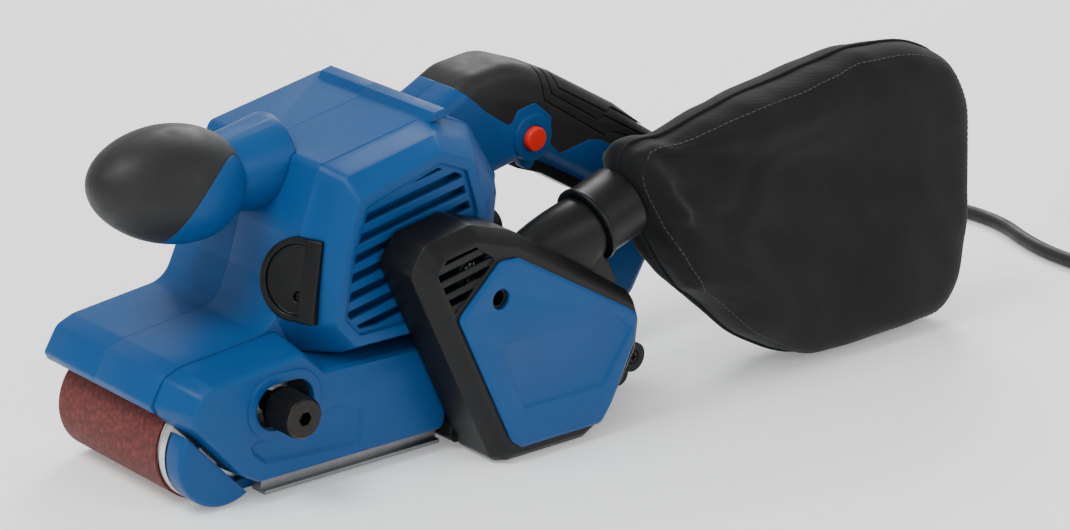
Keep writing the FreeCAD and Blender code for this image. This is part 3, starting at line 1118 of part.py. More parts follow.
GRIP_OUTLINE = [
    (MOTOR_X + 44, 175), (MOTOR_X + 48, 158), (MOTOR_X + 58, 150), (MOTOR_X + 66, 143),
    (MOTOR_X + 81, 133.5),
    (MOTOR_X + 85, 141), (MOTOR_X + 96, 143), (MOTOR_X + 107, 134), (MOTOR_X + 106, 121),
    (MOTOR_X + 113, 114),
    (MOTOR_X + 132, 117.5), (MOTOR_X + 140, 116), (MOTOR_X + 196, 84), (MOTOR_X + 240, 100),
    (MOTOR_X + 150, 190),
]
GRIP_GROOVES = [
    [(MOTOR_X + 96, 170), (MOTOR_X + 99, 155), (MOTOR_X + 102, 143), (MOTOR_X + 143, 117.5),
     (MOTOR_X + 147, 119),
     (MOTOR_X + 158, 115), (MOTOR_X + 198, 92)],
    [(MOTOR_X + 101, 168), (MOTOR_X + 104, 153), (MOTOR_X + 106.5, 145.5), (MOTOR_X + 138, 126.5),
     (MOTOR_X + 142, 128), (MOTOR_X + 200, 95)],
    [(MOTOR_X + 106, 166), (MOTOR_X + 109, 152), (MOTOR_X + 111, 147.5), (MOTOR_X + 143, 129.5),
     (MOTOR_X + 147, 131), (MOTOR_X + 203, 98.5)],
]
GROOVE_WIDTH = 1.0
GROOVE_DEPTH = 0.9
GRIP_CORNER = 3.0
HANDLE_EDGE = 8.0
BUTTON_PLACE = at_motor(95, 28.5)
BUTTON_BOSS = 11.5
BUTTON_TRAVEL = 3.0
TRIGGER_PIVOT = at_motor(96, 15.5)
TRIGGER_SWING = 7.0
TRIGGER_PIN_RADIUS = 2.0
HANDLE_SCREWS = [(MOTOR_X + 186, 76), (MOTOR_X + 160, 42), (MOTOR_X + 60, 124)]
SLOPE = 30.0
TRIGGER_OUTLINE = [
    (MOTOR_X + 92, 118), (MOTOR_X + 94, 107.5), (MOTOR_X + 110, 102), (MOTOR_X + 138, 86),
    (MOTOR_X + 143, 88),
    (MOTOR_X + 146, 96), (MOTOR_X + 118, 113.5), (MOTOR_X + 104, 120),
]


def handle_blank(distance):
    """D handle's solid shape with rounded long edges, moved inwards by the distance."""
    half = HANDLE_WIDTH / 2
    body = prism(inset(HANDLE_OUTLINE, distance), -half + distance, half - distance, HANDLE_RADII)
    edges = edges_in_plane(body, -half + distance) + edges_in_plane(body, half - distance)
    return body.makeFillet(HANDLE_EDGE - distance, edges)


def groove_outline(line):
    """Closed outline of a narrow band that lies along one side of an open line."""
    half = GROOVE_WIDTH / 2
    sides = []
    for sign in (-1, 1):
        shifted = []
        for i, (x, z) in enumerate(line):
            before, after = line[max(i - 1, 0)], line[min(i + 1, len(line) - 1)]
            dx, dz = after[0] - before[0], after[1] - before[1]
            length = math.hypot(dx, dz)
            shifted.append((x - sign * half * dz / length, z + sign * half * dx / length))
        sides.append(shifted)
    return sides[0] + sides[1][::-1]


def handle():
    outer = handle_blank(0)
    under_grip = handle_blank(GRIP_LAYER)
    hollow = handle_blank(GRIP_LAYER + HANDLE_WALL)
    body_shape = upper_body(0).fuse(belt_tunnel(0).common(block(-300, 300, -60, 60, 0, 80)))
    region = prism(GRIP_OUTLINE, -60, 60, GRIP_CORNER)
    grip = outer.cut(under_grip).common(region)
    boss = rod_y(BUTTON_PLACE, BUTTON_BOSS, -HANDLE_WIDTH / 2 - 1.0, -HANDLE_WIDTH / 2 + 9)
    outlet = cord_outlet(CORD_GUARD_RADIUS)
    grip = grip.cut(boss).cut(outlet)
    skin = outer.cut(handle_blank(GROOVE_DEPTH))
    grooves = [prism(groove_outline(line), -60, 60).common(skin) for line in GRIP_GROOVES]
    grip = grip.cut(group(grooves))
    export("handle_grip", main_solid(grip.cut(body_shape)))
    shell = outer.cut(hollow).fuse(boss)
    shell = shell.cut(outer.cut(under_grip).common(region).cut(boss)).cut(body_shape)
    trigger_room = prism(inset(TRIGGER_OUTLINE, -1.2), -TRIGGER_WIDTH / 2 - 0.6, TRIGGER_WIDTH / 2 + 0.6,
                         2.0)
    swing_room = trigger_room.copy()
    swing_room.rotate(Vector(TRIGGER_PIVOT[0], 0, TRIGGER_PIVOT[1]), Vector(0, 1, 0), -TRIGGER_SWING)
    shell = shell.cut(trigger_room.fuse(swing_room))
    button_bore = rod_y(BUTTON_PLACE, BUTTON_DIAMETER / 2 + 0.3, -HANDLE_WIDTH, 0)
    shell = shell.cut(button_bore)
    lugs = [rod_y(TRIGGER_PIVOT, 4.0, side * (TRIGGER_WIDTH / 2 + 0.7),
                  side * (HANDLE_WIDTH / 2 - GRIP_LAYER - 1))
            if side > 0 else rod_y(TRIGGER_PIVOT, 4.0, -HANDLE_WIDTH / 2 + GRIP_LAYER + 1,
                                   -TRIGGER_WIDTH / 2 - 0.7)
            for side in (-1, 1)]
    pin_bore = rod_y(TRIGGER_PIVOT, TRIGGER_PIN_RADIUS, -HANDLE_WIDTH / 2 + 5, HANDLE_WIDTH / 2 - 5)
    shell = shell.fuse(lugs).cut(pin_bore)
    posts, holes, screws = [], [], []
    for place in HANDLE_SCREWS:
        posts.append(rod_y(place, 4.5, -HANDLE_WIDTH / 2 + 4, HANDLE_WIDTH / 2 - 1.5).common(under_grip))
        holes.append(rod_y(place, SCREW_RADIUS, -HANDLE_WIDTH / 2 + 5, HANDLE_WIDTH / 2 + 1))
        holes.append(rod_y(place, 3.6, HANDLE_WIDTH / 2 - 4.5, HANDLE_WIDTH / 2 + 1))
        shank = rod_y(place, SCREW_RADIUS, -HANDLE_WIDTH / 2 + 5, HANDLE_WIDTH / 2 - 4.5)
        screws.append(shank.fuse(screw_head(place, 3.4, HANDLE_WIDTH / 2 - 4.5, 2.2)))
    shell = shell.fuse(posts).cut(group(holes))
    shell = shell.cut(outlet)
    export("handle_left", main_solid(shell.common(block(-300, 400, -100, 0, -50, 300))))
    export("handle_right", main_solid(shell.common(block(-300, 400, 0, 100, -50, 300))))
    CASE_SCREWS.extend(screws)


def trigger():
    body = prism(TRIGGER_OUTLINE, -TRIGGER_WIDTH / 2, TRIGGER_WIDTH / 2, 2.5)
    body = body.cut(rod_y(TRIGGER_PIVOT, TRIGGER_PIN_RADIUS + RUNNING_FIT, -20, 20))
    export("trigger", body)
    export("trigger_pin", rod_y(TRIGGER_PIVOT, TRIGGER_PIN_RADIUS, -HANDLE_WIDTH / 2 + 5,
                                HANDLE_WIDTH / 2 - 5))
    start = -HANDLE_WIDTH / 2 - 1.0 - BUTTON_TRAVEL
    button = rod_y(BUTTON_PLACE, BUTTON_DIAMETER / 2, start, -HANDLE_WIDTH / 2 + 6)
    button = button.makeFillet(1.2, edges_in_plane(button, start))
    export("lock_button", button)
    switch = block(-14, 14, -HANDLE_WIDTH / 2 + 12.5, HANDLE_WIDTH / 2 - 6.5, -6.5, 6.5)
    switch.rotate(Vector(0, 0, 0), Vector(0, 1, 0), SLOPE)
    switch.translate(Vector(MOTOR_X + 124, 0, 127))
    export("switch_body", switch)


# ---------------------------------------------------------------- cord, guard and plug
CORD_GUARD_RADIUS = 6.5
CORD_GUARD_LENGTH = 42.0
CORD_EXIT = Vector(MOTOR_X + 203, 0, 82)
CORD_HEADING = Vector(0.80, 0.0, -0.60)
CORD_FLOOR = CORD_DIAMETER / 2 + 0.3
CORD_START = CORD_EXIT + Vector(CORD_HEADING) * CORD_GUARD_LENGTH
COIL_CENTRE = Vector(575, -72, 0)
COIL_TURNS = 6.125
COIL_RADIUS = 50.0
COIL_WIDTH = 25.0
COIL_HEIGHT = 17.0
CORD_ROUTE = [
    CORD_START, CORD_START + Vector(CORD_HEADING) * 30, Vector(315, 10, 19), Vector(355, 33, 7.5),
    Vector(400, 55, CORD_FLOOR), Vector(446, 62, CORD_FLOOR), Vector(478, 39, CORD_FLOOR),
    Vector(484, -2, CORD_FLOOR), Vector(467, -42, CORD_FLOOR), Vector(464, -76, CORD_FLOOR),
    Vector(471, -107, CORD_FLOOR), Vector(496, -128, CORD_FLOOR), Vector(530, -132, CORD_FLOOR),
    Vector(562, -130.5, CORD_FLOOR),
]
TAIL_ROUTE = [
    Vector(612, -117, 12.9), Vector(632, -97, 13.2), Vector(648, -78, 14.6), Vector(658, -56, 17.6),
    Vector(661, -30, 17.8),
]
PLUG_RADIUS = 17.5
PLUG_LENGTH = 36.0


def cord_outlet(radius):
    """Bore through the handle's rear end for the cord guard."""
    start = CORD_EXIT - Vector(CORD_HEADING) * 16
    return Part.makeCylinder(radius, 60, start, CORD_HEADING)


def tube_along(name, points, diameter):
    """Round tube along straight runs joined by the largest tangent arcs that the runs allow."""
    edges = []
    last = points[0]
    radii = []
    for before, corner, after in zip(points, points[1:], points[2:]):
        run_in, run_out = before - corner, after - corner
        shorter = min(run_in.Length, run_out.Length)
        half_turn = (math.pi - run_in.getAngle(run_out)) / 2
        reach = 0.45 * shorter
        radius = reach / math.tan(half_turn)
        radii.append(round(radius))
        run_in.normalize()
        run_out.normalize()
        inward = run_in + run_out
        inward.normalize()
        start, end = corner + run_in * reach, corner + run_out * reach
        middle = corner + inward * (radius / math.cos(half_turn) - radius)
        edges.append(Part.makeLine(last, start))
        edges.append(Part.Arc(start, middle, end).toShape())
        last = end
    edges.append(Part.makeLine(last, points[-1]))
    path = Part.Wire(edges)
    length = path.Length
    section = Part.Wire(Part.makeCircle(diameter / 2, points[0], points[1] - points[0]))
    tube = path.makePipeShell([section], True, False)
    expected = math.pi * diameter ** 2 / 4 * length
    print(name, "radii", radii, "length", round(length), "volume ratio", round(tube.Volume / expected, 4))
    return tube, length


def cord():
    guard = Part.makeCone(CORD_GUARD_RADIUS, CORD_DIAMETER / 2 + 1.2, CORD_GUARD_LENGTH + 10,
                          CORD_EXIT - Vector(CORD_HEADING) * 10, CORD_HEADING)
    flange = Part.makeCylinder(CORD_GUARD_RADIUS, 6, CORD_EXIT - Vector(CORD_HEADING) * 15.5, CORD_HEADING)
    export("cord_guard", guard.fuse(flange).removeSplitter())
    free, free_length = tube_along("power_cord", CORD_ROUTE, CORD_DIAMETER)
    tail, tail_length = tube_along("plug end", TAIL_ROUTE, CORD_DIAMETER)
    export("power_cord", group([free, tail]))
    ring = Part.makeCylinder(COIL_RADIUS + COIL_WIDTH / 2, COIL_HEIGHT, COIL_CENTRE + Vector(0, 0, 0.3))
    ring = ring.cut(Part.makeCylinder(COIL_RADIUS - COIL_WIDTH / 2, COIL_HEIGHT + 2,
                                      COIL_CENTRE - Vector(0, 0, 1)))
    export("cord_coil", ring.makeFillet(3.5, ring.Edges))
    print("cord length", round(free_length + tail_length + COIL_TURNS * 2 * math.pi * COIL_RADIUS))
    heading = (TAIL_ROUTE[-1] - TAIL_ROUTE[-2]).normalize()
    heading = Vector(heading.x, heading.y, 0).normalize()
    start = TAIL_ROUTE[-1]
    sleeve = Part.makeCone(CORD_DIAMETER / 2 + 1.0, 9.0, 22, start, heading)
    body = Part.makeCylinder(PLUG_RADIUS, PLUG_LENGTH - 4, start + heading * 22, heading)
    nose = Part.makeCone(PLUG_RADIUS, PLUG_RADIUS - 2, 4, start + heading * (18 + PLUG_LENGTH), heading)
    plug = sleeve.fuse([body, nose])
    side = Vector(-heading.y, heading.x, 0)
    pins = []
    for sign in (-1, 1):
        root = start + heading * (12 + PLUG_LENGTH) + side * (sign * 9.5)
        pin = Part.makeCylinder(2.4, 29, root, heading)
        pins.append(pin)
        plug = plug.cut(pin)
    export("plug_body", plug.removeSplitter())
    export("plug_pins", group(pins))


for make in (sanding_belt, front_roller, front_carriage, chassis, tension_slide, tracking_knob,
             tension_lever,
             drive_roller, motor, housing, brush_caps, side_panel, roller_guard, drive_cover, dust_duct,
             dust_bag,
             front_knob, handle, trigger, cord):
    make()
export("case_screws", group(CASE_SCREWS))
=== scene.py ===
"""Visual model of a handheld belt sander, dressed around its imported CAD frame."""

import logging
import math
from dataclasses import dataclass
from enum import Enum
from typing import Iterable, Sequence

import bmesh
import bpy
from mathutils import Matrix, Vector, noise
from mathutils.bvhtree import BVHTree


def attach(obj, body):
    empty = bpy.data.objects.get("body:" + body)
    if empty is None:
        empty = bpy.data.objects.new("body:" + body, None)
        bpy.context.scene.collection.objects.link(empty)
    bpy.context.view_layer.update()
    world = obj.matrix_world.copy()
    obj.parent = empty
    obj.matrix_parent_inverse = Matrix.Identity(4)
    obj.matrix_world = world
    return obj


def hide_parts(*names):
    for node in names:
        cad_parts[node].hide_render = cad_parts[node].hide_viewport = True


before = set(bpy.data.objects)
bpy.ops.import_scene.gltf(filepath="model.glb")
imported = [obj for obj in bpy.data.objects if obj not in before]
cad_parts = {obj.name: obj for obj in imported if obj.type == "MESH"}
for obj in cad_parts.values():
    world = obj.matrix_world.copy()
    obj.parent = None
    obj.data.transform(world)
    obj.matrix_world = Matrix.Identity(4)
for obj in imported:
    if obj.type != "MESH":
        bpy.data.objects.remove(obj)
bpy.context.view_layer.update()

log = logging.getLogger("belt_sander")
Color = tuple[float, float, float]
Point = tuple[float, float, float]

MM = 0.001


class Body(Enum):
    """Moving groups of the machine, as the frame names them."""

    MACHINE = "machine"
    SLIDE = "carriage_slide"
    FORK = "carriage_fork"
    NOSE_ROLLER = "nose_roller"
    TRACKING = "tracking_screw"
    LEVER = "release_lever"
    DRIVE = "drive_train"
    ROTOR = "rotor"
    TRIGGER = "switch_trigger"
    BUTTON = "lock_button"
    DUST = "dust_collector"


# ---------------------------------------------------------------- finishes
class Shader:
    """A node material under construction."""

    def __init__(self, name: str, color: Color, roughness: float, metallic: float = 0.0) -> None:
        """Starts a material with one main shader.

        Args:
            name: the material's name.
            color: linear base colour.
            roughness: surface roughness.
            metallic: 1 for bare metal.
        """
        self.material = bpy.data.materials.new(name)
        self.material.use_nodes = True
        self.material.diffuse_color = (*color, 1.0)
        self.tree = self.material.node_tree
        self.bsdf = self.tree.nodes["Principled BSDF"]
        self.bsdf.inputs["Base Color"].default_value = (*color, 1.0)
        self.bsdf.inputs["Roughness"].default_value = roughness
        self.bsdf.inputs["Metallic"].default_value = metallic
        self.place = self.add("ShaderNodeTexCoord").outputs["Object"]

    def add(self, kind: str, **values: object) -> bpy.types.Node:
        """Adds a node and sets its named inputs or properties."""
        node = self.tree.nodes.new(kind)
        for key, value in values.items():
            if key in node.inputs:
                node.inputs[key].default_value = value
            else:
                setattr(node, key, value)
        return node

    def join(self, source: bpy.types.NodeSocket, target: bpy.types.NodeSocket) -> None:
        """Links two sockets."""
        self.tree.links.new(source, target)

    def noise(self, scale: float, detail: float = 3.0, stretch: Point = (1, 1, 1)) -> bpy.types.NodeSocket:
        """Noise over the object's own space.

        Args:
            scale: pattern repeats per metre.
            detail: octaves.
            stretch: factor on each axis.

        Returns:
            The noise value's socket.
        """
        mapping = self.add("ShaderNodeMapping", Scale=stretch)
        self.join(self.place, mapping.inputs["Vector"])
        node = self.add("ShaderNodeTexNoise", Scale=scale, Detail=detail)
        self.join(mapping.outputs["Vector"], node.inputs["Vector"])
        return node.outputs["Fac"]

    def ramp(self, value: bpy.types.NodeSocket, stops: Sequence[tuple[float, Color]]) -> bpy.types.NodeSocket:
        """Colour ramp over a value."""
        node = self.add("ShaderNodeValToRGB")
        elements = node.color_ramp.elements
        while len(elements) < len(stops):
            elements.new(0.5)
        for element, (position, color) in zip(elements, stops):
            element.position = position
            element.color = (*color, 1.0)
        self.join(value, node.inputs["Fac"])
        return node.outputs["Color"]

    def tint(self, value: bpy.types.NodeSocket, low: Color, high: Color, start: float = 0.3, end: float = 0.7) -> None:
        """Base colour that wanders between two tones."""
        self.join(self.ramp(value, [(start, low), (end, high)]), self.bsdf.inputs["Base Color"])

    def gloss(self, value: bpy.types.NodeSocket, low: float, high: float) -> None:
        """Roughness that wanders between two values."""
        node = self.add("ShaderNodeMapRange")
        node.inputs["From Min"].default_value = 0.3
        node.inputs["From Max"].default_value = 0.7
        node.inputs["To Min"].default_value = low
        node.inputs["To Max"].default_value = high
        self.join(value, node.inputs["Value"])
        self.join(node.outputs["Result"], self.bsdf.inputs["Roughness"])

    def relief(self, value: bpy.types.NodeSocket, strength: float, depth: float) -> None:
        """Bump that stacks on any bump already there.

        Args:
            value: height socket.
            strength: share of the effect.
            depth: height of the relief in metres.
        """
        node = self.add("ShaderNodeBump", Strength=strength, Distance=depth)
        self.join(value, node.inputs["Height"])
        normal = self.bsdf.inputs["Normal"]
        if normal.is_linked:
            self.join(normal.links[0].from_socket, node.inputs["Normal"])
        self.join(node.outputs["Normal"], normal)

    def round_corners(self, radius: float) -> None:
        """Softens hard corners by a small radius in metres."""
        node = self.add("ShaderNodeBevel", samples=6)
        node.inputs["Radius"].default_value = radius
        self.join(node.outputs["Normal"], self.bsdf.inputs["Normal"])


def shade(color: Color, factor: float) -> Color:
    """Colour made lighter or darker by a factor."""
    return tuple(min(1.0, channel * factor) for channel in color)


@dataclass(frozen=True)
class MouldedPlastic:
    """Satin moulded nylon with a fine spark-eroded grain."""

    name: str
    color: Color
    roughness: float = 0.42
    grain: float = 0.35
    corner: float = 0.0009
    shine: float = 0.2

    def build(self) -> bpy.types.Material:
        """Makes the material."""
        shader = Shader(self.name, self.color, self.roughness)
        shader.bsdf.inputs["IOR"].default_value = 1.5
        shader.bsdf.inputs["Specular IOR Level"].default_value = self.shine
        if self.corner:
            shader.round_corners(self.corner)
        broad = shader.noise(22.0, 4.0)
        shader.tint(broad, shade(self.color, 0.93), shade(self.color, 1.07))
        shader.gloss(shader.noise(90.0, 3.0), self.roughness - 0.04, self.roughness + 0.05)
        shader.relief(shader.noise(1900.0, 2.0), self.grain, 0.00006)
        return shader.material


@dataclass(frozen=True)
class SoftRubber:
    """Matte soft-touch rubber with a pebbled skin."""

    name: str
    color: Color
    roughness: float = 0.55
    pebble: float = 1500.0

    def build(self) -> bpy.types.Material:
        """Makes the material."""
        shader = Shader(self.name, self.color, self.roughness)
        shader.bsdf.inputs["Sheen Weight"].default_value = 0.05
        shader.bsdf.inputs["Sheen Roughness"].default_value = 0.5
        shader.bsdf.inputs["Specular IOR Level"].default_value = 0.32
        shader.round_corners(0.0006)
        shader.tint(shader.noise(35.0, 4.0), shade(self.color, 0.85), shade(self.color, 1.25))
        shader.gloss(shader.noise(120.0, 3.0), self.roughness - 0.06, self.roughness + 0.08)
        shader.relief(shader.noise(self.pebble, 2.0), 0.5, 0.00009)
        return shader.material


@dataclass(frozen=True)
class WorkedMetal:
    """Ground, cast or blackened metal."""

    name: str
    color: Color
    roughness: float = 0.3
    stretch: Point = (1.0, 40.0, 1.0)
    grain: float = 0.15
    metallic: float = 1.0

    def build(self) -> bpy.types.Material:
        """Makes the material."""
        shader = Shader(self.name, self.color, self.roughness, self.metallic)
        shader.round_corners(0.0004)
        lines = shader.noise(60.0, 4.0, self.stretch)
        shader.tint(lines, shade(self.color, 0.82), shade(self.color, 1.12))
        shader.gloss(lines, self.roughness - 0.06, self.roughness + 0.1)
        shader.relief(lines, self.grain, 0.00004)
        return shader.material


@dataclass(frozen=True)
class AbrasiveCloth:
    """Red-brown coated cloth with mineral grit."""

    name: str = "abrasive_grit"
    color: Color = (0.085, 0.011, 0.009)

    def build(self) -> bpy.types.Material:
        """Makes the material."""
        shader = Shader(self.name, self.color, 0.78)
        grit = shader.noise(2600.0, 3.0)
        clumps = shader.noise(420.0, 4.0)
        mixed = shader.add("ShaderNodeMath", operation="MULTIPLY")
        shader.join(grit, mixed.inputs[0])
        shader.join(clumps, mixed.inputs[1])
        stops = [(0.12, shade(self.color, 0.45)), (0.24, self.color), (0.34, shade(self.color, 1.5)),
                 (0.42, (0.2, 0.05, 0.04))]
        shader.join(shader.ramp(mixed.outputs[0], stops), shader.bsdf.inputs["Base Color"])
        shader.relief(grit, 0.8, 0.00022)
        return shader.material


@dataclass(frozen=True)
class WovenCloth:
    """Dull black dust-bag cloth with a fine plain weave."""

    name: str
    color: Color
    pitch: float = 0.0009

    def build(self) -> bpy.types.Material:
        """Makes the material."""
        shader = Shader(self.name, self.color, 0.82)
        shader.bsdf.inputs["Sheen Weight"].default_value = 0.07
        shader.bsdf.inputs["Sheen Roughness"].default_value = 0.45
        shader.bsdf.inputs["Specular IOR Level"].default_value = 0.18
        shader.tint(shader.noise(16.0, 5.0), shade(self.color, 0.8), shade(self.color, 1.3))
        threads = []
        for direction in ("X", "Z"):
            wave = shader.add("ShaderNodeTexWave", bands_direction=direction, Scale=0.314 / self.pitch)
            wave.inputs["Distortion"].default_value = 0.6
            wave.inputs["Detail"].default_value = 1.0
            shader.join(shader.place, wave.inputs["Vector"])
            threads.append(wave.outputs["Fac"])
        weave = shader.add("ShaderNodeMath", operation="ADD")
        shader.join(threads[0], weave.inputs[0])
        shader.join(threads[1], weave.inputs[1])
        shader.relief(weave.outputs[0], 0.35, 0.00012)
        shader.relief(shader.noise(28.0, 5.0), 0.5, 0.0012)
        return shader.material


@dataclass(frozen=True)
class PlainFloor:
    """Pale studio floor."""

    name: str = "studio_floor"

    def build(self) -> bpy.types.Material:
        """Makes the material."""
        shader = Shader(self.name, (0.95, 0.95, 0.95), 0.65)
        shader.bsdf.inputs["Emission Color"].default_value = (1.0, 1.0, 1.0, 1.0)
        shader.bsdf.inputs["Emission Strength"].default_value = 0.2
        return shader.material


BLUE = (0.0008, 0.050, 0.172)
BLACK = (0.0045, 0.0045, 0.005)
STEEL = (0.55, 0.55, 0.56)


class Palette:
    """All the finishes, made once."""

    def __init__(self) -> None:
        """Builds every material."""
        self.blue = MouldedPlastic("blue_nylon", BLUE).build()
        self.black = MouldedPlastic("black_nylon", BLACK, 0.38).build()
        self.rubber = SoftRubber("soft_grip_rubber", (0.006, 0.006, 0.0066)).build()
        self.red = MouldedPlastic("red_button_plastic", (0.62, 0.02, 0.012), 0.3, 0.1).build()
        self.cloth = WovenCloth("dust_bag_cloth", (0.0045, 0.0045, 0.005)).build()
        self.grit = AbrasiveCloth().build()
        self.alloy = WorkedMetal("cast_alloy", (0.62, 0.62, 0.63), 0.34, (8.0, 8.0, 8.0)).build()
        self.steel = WorkedMetal("ground_steel", STEEL, 0.26).build()
        self.dark_steel = WorkedMetal("black_oxide_steel", (0.03, 0.028, 0.027), 0.34, (10, 10, 10)).build()
        self.thread = SoftRubber("bag_thread", (0.03, 0.03, 0.032), 0.7).build()
        self.skid = WorkedMetal("dull_zinc_strip", (0.24, 0.24, 0.25), 0.42, (40.0, 1.0, 1.0)).build()
        self.copper = WorkedMetal("enamelled_copper", (0.55, 0.2, 0.08), 0.35, (1.0, 30.0, 1.0)).build()
        self.brass = WorkedMetal("plug_brass", (0.6, 0.45, 0.2), 0.25, (10, 10, 10)).build()
        self.carbon = MouldedPlastic("pressed_carbon", (0.03, 0.03, 0.03), 0.6).build()
        self.sheath = SoftRubber("cord_sheath_rubber", (0.008, 0.008, 0.0085), 0.5, 700.0).build()


# ---------------------------------------------------------------- mesh helpers
def metres(points: Iterable[Point]) -> list[Vector]:
    """Millimetre points as vectors in metres."""
    return [Vector(point) * MM for point in points]


def new_object(name: str, mesh: bpy.types.Mesh, material: bpy.types.Material | None = None) -> bpy.types.Object:
    """Links a mesh to the scene as an object with one material."""
    piece = bpy.data.objects.new(name, mesh)
    bpy.context.scene.collection.objects.link(piece)
    if material:
        mesh.materials.clear()
        mesh.materials.append(material)
    return piece


def mesh_from(name: str, points: Sequence[Vector], faces: Sequence[Sequence[int]]) -> bpy.types.Mesh:
    """Closed mesh from points and faces, with its faces turned outwards."""
    mesh = bpy.data.meshes.new(name)
    mesh.from_pydata([tuple(point) for point in points], [], faces)
    bm = bmesh.new()
    bm.from_mesh(mesh)
    bmesh.ops.remove_doubles(bm, verts=bm.verts, dist=1e-6)
    bmesh.ops.recalc_face_normals(bm, faces=bm.faces)
    bm.to_mesh(mesh)
    bm.free()
    return mesh


def soften(mesh: bpy.types.Mesh, angle: float = 35.0) -> None:
    """Smooth shading with edges sharper than an angle in degrees kept crisp."""
    mesh.shade_smooth()
    mesh.set_sharp_from_angle(angle=math.radians(angle))


def settle(piece: bpy.types.Object) -> None:
    """Turns a piece's modifiers into its plain mesh."""
    bpy.context.view_layer.update()
    graph = bpy.context.evaluated_depsgraph_get()
    mesh = bpy.data.meshes.new_from_object(piece.evaluated_get(graph), depsgraph=graph)
    piece.modifiers.clear()
    materials = list(piece.data.materials)
    piece.data = mesh
    if materials and not mesh.materials:
        mesh.materials.append(materials[0])


def welded_copy(node: str, name: str, material: bpy.types.Material) -> bpy.types.Object:
    """Copy of a CAD node with its loose triangles welded and its flat faces joined."""
    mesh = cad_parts[node].data.copy()
    bm = bmesh.new()
    bm.from_mesh(mesh)
    bmesh.ops.remove_doubles(bm, verts=bm.verts, dist=2e-6)
    bmesh.ops.dissolve_limit(bm, angle_limit=math.radians(0.4), verts=bm.verts, edges=bm.edges)
    bm.to_mesh(mesh)
    bm.free()
    return new_object(name, mesh, material)


def moulded(node: str, name: str, material: bpy.types.Material, edge: float) -> bpy.types.Object:
    """Copy of a CAD node with every hard edge rounded.

    Args:
        node: the CAD node.
        name: the new piece's name.
        material: its finish.
        edge: radius of the rounding in metres.

    Returns:
        The new piece.
    """
    piece = welded_copy(node, name, material)
    bevel = piece.modifiers.new("rounding", "BEVEL")
    bevel.width = edge
    bevel.segments = 3
    bevel.limit_method = "ANGLE"
    bevel.angle_limit = math.radians(24.0)
    bevel.use_clamp_overlap = True
    settle(piece)
    soften(piece.data, 40.0)
    return piece


def stand_for(piece: bpy.types.Object, body: Body, slot: str, *nodes: str) -> None:
    """Attaches a finished piece to its body and hides the CAD nodes that it replaces."""
    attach(piece, body.value)
    if nodes:
        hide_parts(*nodes)
    log.info("%s rides on %s", piece.name, body.value)


def dress(node: str, material: bpy.types.Material, angle: float = 30.0) -> None:
    """Gives a CAD node its finish."""
    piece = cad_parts[node]
    piece.data.materials.clear()
    piece.data.materials.append(material)
    log.info("%s dressed in %s", node, material.name)


# ---------------------------------------------------------------- studio
@dataclass
class Studio:
    """Camera, soft lights and a pale floor."""

    eye: Point = (-0.9585, -1.2244, 0.6410)
    azimuth: float = -41.86
    elevation: float = 19.75
    roll: float = 1.89
    lens: float = 118.7

    def camera(self) -> None:
        """Makes the scene's camera."""
        data = bpy.data.cameras.new("camera")
        data.lens = self.lens
        data.sensor_width = 36.0
        data.clip_end = 20.0
        camera = bpy.data.objects.new("camera", data)
        bpy.context.scene.collection.objects.link(camera)
        turn, rise, roll = (math.radians(angle) for angle in (self.azimuth, self.elevation, self.roll))
        back = Vector((math.sin(turn) * math.cos(rise), -math.cos(turn) * math.cos(rise), math.sin(rise)))
        right = Vector((math.cos(turn), math.sin(turn), 0.0))
        up = back.cross(right)
        across = right * math.cos(roll) + up * math.sin(roll)
        upward = up * math.cos(roll) - right * math.sin(roll)
        pose = Matrix((across, upward, back)).transposed().to_4x4()
        pose.translation = Vector(self.eye)
        camera.matrix_world = pose
        bpy.context.scene.camera = camera

    def light(self, name: str, place: Point, size: float, power: float, target: Point = (0.06, 0.0, 0.07)) -> None:
        """Makes one soft box light that faces the machine."""
        data = bpy.data.lights.new(name, "AREA")
        data.shape = "DISK"
        data.size = size
        data.energy = power
        lamp = bpy.data.objects.new(name, data)
        bpy.context.scene.collection.objects.link(lamp)
        lamp.location = place
        lamp.rotation_euler = (Vector(place) - Vector(target)).to_track_quat("Z", "Y").to_euler()

    def build(self, floor: bpy.types.Material) -> None:
        """Sets up the whole studio."""
        self.camera()
        self.light("key_light", (-0.9, -0.1, 1.5), 0.9, 24.0)
        self.light("front_fill", (-1.5, -1.5, 0.7), 1.4, 9.0)
        self.light("rear_rim", (1.1, 0.9, 1.1), 0.8, 16.0)
        self.light("side_fill", (0.7, -1.6, 0.9), 1.0, 8.0)
        world = bpy.data.worlds.new("studio_world")
        world.use_nodes = True
        world.node_tree.nodes["Background"].inputs["Color"].default_value = (1.0, 1.0, 1.0, 1.0)
        world.node_tree.nodes["Background"].inputs["Strength"].default_value = 0.75
        bpy.context.scene.world = world
        size = 4.0
        mesh = mesh_from("floor", [Vector((x, y, 0.0)) for x, y in ((-size, -size), (size, -size), (size, size),
                                                                     (-size, size))], [(0, 1, 2, 3)])
        ground = new_object("floor", mesh, floor)


# ---------------------------------------------------------------- mains cord
FLOOR = 4.3
COIL_CENTRE = (575.0, -72.0)


